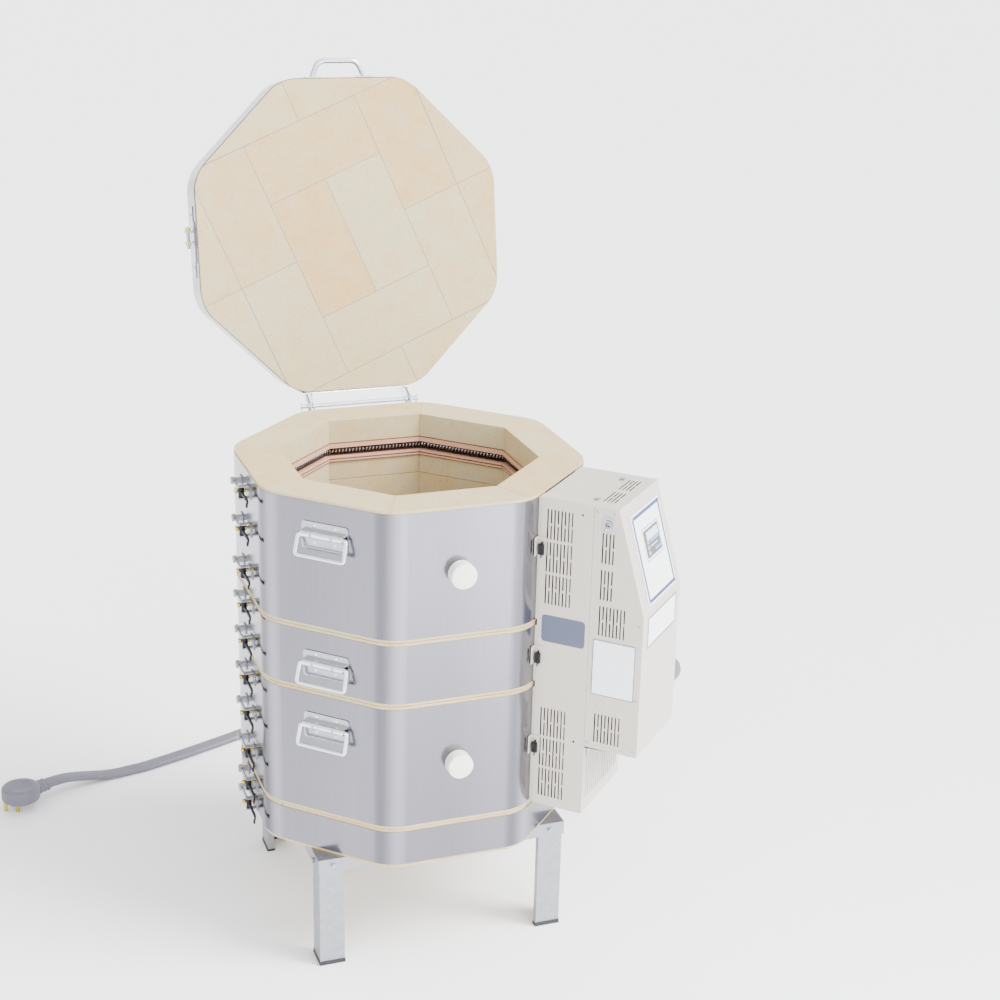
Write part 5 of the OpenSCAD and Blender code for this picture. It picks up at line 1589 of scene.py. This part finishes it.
class KILN_OT_box(Operator):
    """Control box: fixed rear half, hinged front half, brackets, bottom hinge and inside parts"""

    bl_idname = "kiln.box"
    bl_label = "Control box"

    def execute(self, context):
        for half, body in (("rear", "root"), ("front", "control_box")):
            # Painted shade: the shells' inner faces get a near black finish so the slots read dark
            from_cad(
                half + "_shell", [half + "_box"], "paint", body, 0.0003, 0.0016,
                "box lining",
            )
        from_cad("box_mounting_strips", ["box_brackets"], "paint", "root", 0.0004)
        from_cad("box_bottom_hinge", ["box_hinge"], "zinc", "root", 0.0004)
        from_cad("relays", ["power_relays"], "black plastic", "root", 0.0008)
        from_cad("cord_collar", ["cord_gland"], "black plastic", "root", 0.0008)
        self.insulation()
        self.catches()
        self.clips()
        self.edge_screws()
        return {"FINISHED"}

    def insulation(self):
        """Painted shade: dark boards that stand inside the side walls, behind the slots, so the
        slots
        read dark: two in each half, and one behind the slots low on the rear half's front."""
        b = sizes("box")
        thick = 1.2 * MM
        foot = b.top - b.slope_high - 240 * MM
        rear_foot = b.top - 545 * MM
        front, rear = [], []
        for s in (-1, 1):
            v = s * (b.wide / 2 - 9 * MM)
            high = b.top - 48 * MM - foot
            front.append(
                at_box(box(thick, 45 * MM, high), v, b.seam_u + 3 * MM, foot + high / 2)
            )
            low = foot - 20 * MM if s > 0 else rear_foot
            high = b.top - 14 * MM - low
            deep = b.seam_u - b.rear_u - 14 * MM
            rear.append(at_box(box(thick, deep, high), v, b.rear_u + 7 * MM, low + high / 2))
        across = box(b.wide - 24 * MM, thick, 122 * MM)
        rear.append(at_box(across, 0, b.seam_u - 10 * MM, rear_foot + 61 * MM))
        make("front_insulation", {"box lining": front}, "control_box")
        make("rear_insulation", {"box lining": rear}, "root")

    def catches(self):
        """Two small spring catches on the rear half's top, by the seam."""
        b = sizes("box")
        parts = []
        for v in (-57 * MM, 57 * MM):
            clip = [
                placed(
                    plate(13 * MM, 7 * MM, 1.2 * MM, 2 * MM), lambda p: about(p, "X", -np.pi / 2)
                ),
                lathe([[2.6 * MM, 1 * MM], [2.4 * MM, 2.4 * MM], [1.2 * MM, 3 * MM]], "z"),
                rod(2.2 * MM, 11 * MM, "x", (-5.5 * MM, -4.2 * MM, 1.4 * MM), 12),
            ]
            parts += [at_box(p, v, b.seam_u - 9 * MM, b.top + 0.1 * MM) for p in clip]
        make("box_catches", {"zinc": parts}, "root", (), 0.0003)

    def clips(self):
        """Black spring clips that hold the rear half to its strips, beside each angle bracket."""
        b = sizes("box")
        parts = []
        for drop in (90 * MM, 286 * MM, 454 * MM):
            clip = [
                box(5 * MM, 9 * MM, 18 * MM, (0, 0, 0)),
                rod(2.4 * MM, 11 * MM, "z", (-3 * MM, -6 * MM, -13 * MM), 10),
                box(9 * MM, 2.4 * MM, 4 * MM, (1 * MM, -4 * MM, 10 * MM)),
            ]
            parts += [
                at_box(p, -b.wide / 2 - 6.5 * MM, b.rear_u + 1 * MM, b.top - drop) for p in clip
            ]
        make("box_clips", {"black oxide": parts}, "root", (), 0.0004)

    def edge_screws(self):
        """Pan-head screws along the front half's edges, as distance from the seam and drop in
        millimetres."""
        b = sizes("box")
        heads = [
            at_box_side(rivet(4.4 * MM, 1.5 * MM, (0, 0, 0)), b.seam_u + u * MM, drop * MM)
            for u, drop in ((6, 9), (36, 9), (88, 196), (88, 330), (88, 424), (6, 424))
        ]
        make("box_edge_screws", {"zinc": heads}, "control_box")


# Thickness of the printed lines, and the screen's place across and down the slope
LINE_THICK = 0.15 * MM
SCREEN_PLACE = 8 * MM, 82 * MM
# The switch's distance from the seam and its drop
SWITCH_PLACE = 25.3 * MM, 27.5 * MM


class KILN_OT_panel(Operator):
    """Faceplate, screen and board, the bare plates, the toggle switch and the round socket"""

    bl_idname = "kiln.panel"
    bl_label = "Panel and plates"

    def execute(self, context):
        self.faceplate()
        self.screen()
        self.side_plates()
        self.toggle()
        self.socket()
        from_cad("panel_screws", ["faceplate_screws"], "zinc", "control_box", 0.0003)
        from_cad(
            "controller_pcb", ["controller_board"], "board", "control_box", 0.0003
        )
        return {"FINISHED"}

    def faceplate(self):
        """Satin plate on the slope, with a plain line near its edge and one round the screen."""
        from_cad(
            "faceplate_sheet", ["faceplate"], "panel", "control_box", 0.0004
        )
        edge = border(121 * MM, 148 * MM, 6 * MM, LINE_THICK, 4 * MM)
        frame_line = border(74 * MM, 56 * MM, 1.2 * MM, LINE_THICK, 3 * MM)
        lines = [
            at_slope(edge, 4 * MM, 99 * MM, 2.25 * MM),
            at_slope(frame_line, *SCREEN_PLACE, 2.25 * MM),
        ]
        make("faceplate_lines", {"plate line": lines}, "control_box")

    def screen(self):
        """Touch screen with a few plain blocks of colour on its glass."""
        glass = at_slope(plate(64 * MM, 46 * MM, 4.4 * MM, 1 * MM), *SCREEN_PLACE, -1.5 * MM)
        tiles = {"screen pale": [], "screen blue": [], "screen green": []}
        for name, x, z, w, h in (
            ("screen pale", 3, 12, 50, 14), ("screen blue", 8, 1.5, 40, 5),
            ("screen green", -21, 2, 9, 6), ("screen green", -21, -7, 9, 6),
            ("screen green", -21, -16, 9, 6),
            ("screen blue", 16, -16, 24, 5), ("screen pale", 3, -7, 30, 2),
        ):
            tile = plate(w * MM, h * MM, 0.12 * MM, 0.8 * MM, (x * MM, 0, z * MM))
            tiles[name].append(at_slope(tile, *SCREEN_PLACE, 2.85 * MM))
        make(
            "screen_glass", {"glass": [glass], **tiles}, "control_box", ["touch_screen"]
        )

    def side_plates(self):
        """Rounded grey plate and framed white plate on the side, framed white plate in front."""
        b = sizes("box")
        thick, line_out = 0.6 * MM, 0.85 * MM
        rounded_at = b.seam_u - 46 * MM, 231 * MM
        white_at = b.seam_u + 46.3 * MM, 282.4 * MM
        switch_at = b.seam_u + SWITCH_PLACE[0], SWITCH_PLACE[1]
        front, low_z = b.seam_u + b.front_deep, b.top - 214 * MM
        grey = at_box_side(plate(78 * MM, 48 * MM, thick, 6 * MM), *rounded_at, SEAT)
        white = at_box_side(plate(75.5 * MM, 100 * MM, thick, 1 * MM), *white_at, SEAT)
        white_line = border(75.5 * MM, 100 * MM, 1.3 * MM, LINE_THICK, 1 * MM)
        white_line = at_box_side(white_line, *white_at, line_out)
        low = at_box(plate(132 * MM, 55 * MM, thick, 1 * MM), 0, front + SEAT, low_z)
        low_line = border(132 * MM, 55 * MM, 2.6 * MM, LINE_THICK, 1 * MM)
        low_line = at_box(low_line, 0, front + line_out, low_z)
        switch = at_box_side(plate(17 * MM, 25 * MM, thick, 2 * MM), *switch_at, SEAT)
        nut_profile = [[7.5 * MM, 0], [7.5 * MM, 2.4 * MM], [4.3 * MM, 2.4 * MM], [4.3 * MM, 0]]
        nut = at_box_side(lathe(nut_profile, sides=6), *switch_at, line_out)
        knock = at_box_side(
            lathe([[8.3 * MM, 0], [8.1 * MM, 0.25 * MM], [0.1 * MM, 0.25 * MM]]),
            b.seam_u + 24.8 * MM, 348.5 * MM, -0.35 * MM,
        )
        make(
            "box_plates",
            {
                "panel": [white, low], "plate line": [white_line, low_line],
                "zinc": [switch, nut], "paint": [knock],
            },
            "control_box", ["side_plates"],
        )
        make("rounded_plate", {"grey plate": [grey]}, "root", ["rear_plate"])

    def toggle(self):
        """Switch ball and bat, hanging down at its angle."""
        b = sizes("box")
        a = np.linspace(0.06, np.pi - 0.06, 14)
        ball = lathe(np.column_stack([3.5 * MM * np.sin(a), 3.5 * MM * np.cos(a)]), sides=28)
        bat = lathe(
            [
                [1.25 * MM, 0], [1.6 * MM, 4 * MM], [2.3 * MM, 12 * MM], [2.5 * MM, 14.4 * MM],
                [2.2 * MM, 15.5 * MM], [1.2 * MM, 16 * MM],
            ],
            sides=24,
        )
        bat = placed(bat, lambda p: about(p, "X", math.radians(30)))
        along, drop = SWITCH_PLACE
        parts = [at_box_side(p, b.seam_u + along, drop) for p in (ball, bat)]
        make("toggle_bat", {"zinc": parts}, "toggle", ["switch_toggle"])

    def socket(self):
        """Round fitting on the far side: a flange and a barrel with a rolled edge."""
        b = sizes("box")
        profile = [
            [28 * MM, 0], [28 * MM, 3 * MM], [27.4 * MM, 4 * MM], [25 * MM, 4 * MM],
            [25 * MM, 50 * MM], [24.6 * MM, 54 * MM], [22.8 * MM, 57 * MM], [20 * MM, 58 * MM],
            [17 * MM, 57 * MM], [0.1 * MM, 57 * MM],
        ]
        barrel = lathe(profile, "x", (SEAT, 0, 0), 56)
        barrel = at_box(barrel, b.wide / 2, b.seam_u + 63.8 * MM, b.top - 367 * MM)
        make(
            "round_socket", {"cord": [barrel]}, "control_box",
            ["accessory_socket"],
        )


# ---------------------------------------------------------------- panel and registration

GROUPS = {
    "stage": KilnStage,
    "body": KilnBodySizes,
    "lid": KilnLidSizes,
    "elements": KilnElementSizes,
    "box": KilnBoxSizes,
    "fittings": KilnFittingSizes,
    "cord": KilnCordSizes,
    "finishes": KilnFinishes,
}
OPERATORS = (
    KILN_OT_stage,
    KILN_OT_cord,
    KILN_OT_stand,
    KILN_OT_floor,
    KILN_OT_rings,
    KILN_OT_elements,
    KILN_OT_lid,
    KILN_OT_hinge,
    KILN_OT_handles,
    KILN_OT_plugs,
    KILN_OT_latches,
    KILN_OT_box,
    KILN_OT_panel,
)


class KILN_PT_pieces(Panel):
    """Lists the kiln's pieces in the order in which they are made"""

    bl_idname = "KILN_PT_pieces"
    bl_label = "Kiln"
    bl_space_type = "VIEW_3D"
    bl_region_type = "UI"
    bl_category = "Kiln"

    def draw(self, context):
        for operator in OPERATORS:
            self.layout.operator(operator.bl_idname, text=operator.bl_label)


def register():
    for name, group in GROUPS.items():
        bpy.utils.register_class(group)
        setattr(bpy.types.Scene, "kiln_" + name, PointerProperty(type=group))
    for item in (*OPERATORS, KILN_PT_pieces):
        bpy.utils.register_class(item)


def unregister():
    for item in reversed((*OPERATORS, KILN_PT_pieces)):
        bpy.utils.unregister_class(item)
    for name, group in reversed(GROUPS.items()):
        delattr(bpy.types.Scene, "kiln_" + name)
        bpy.utils.unregister_class(group)


def main():
    register()
    for operator in OPERATORS:
        group, name = operator.bl_idname.split(".")
        getattr(getattr(bpy.ops, group), name)()


if __name__ == "__main__":
    main()
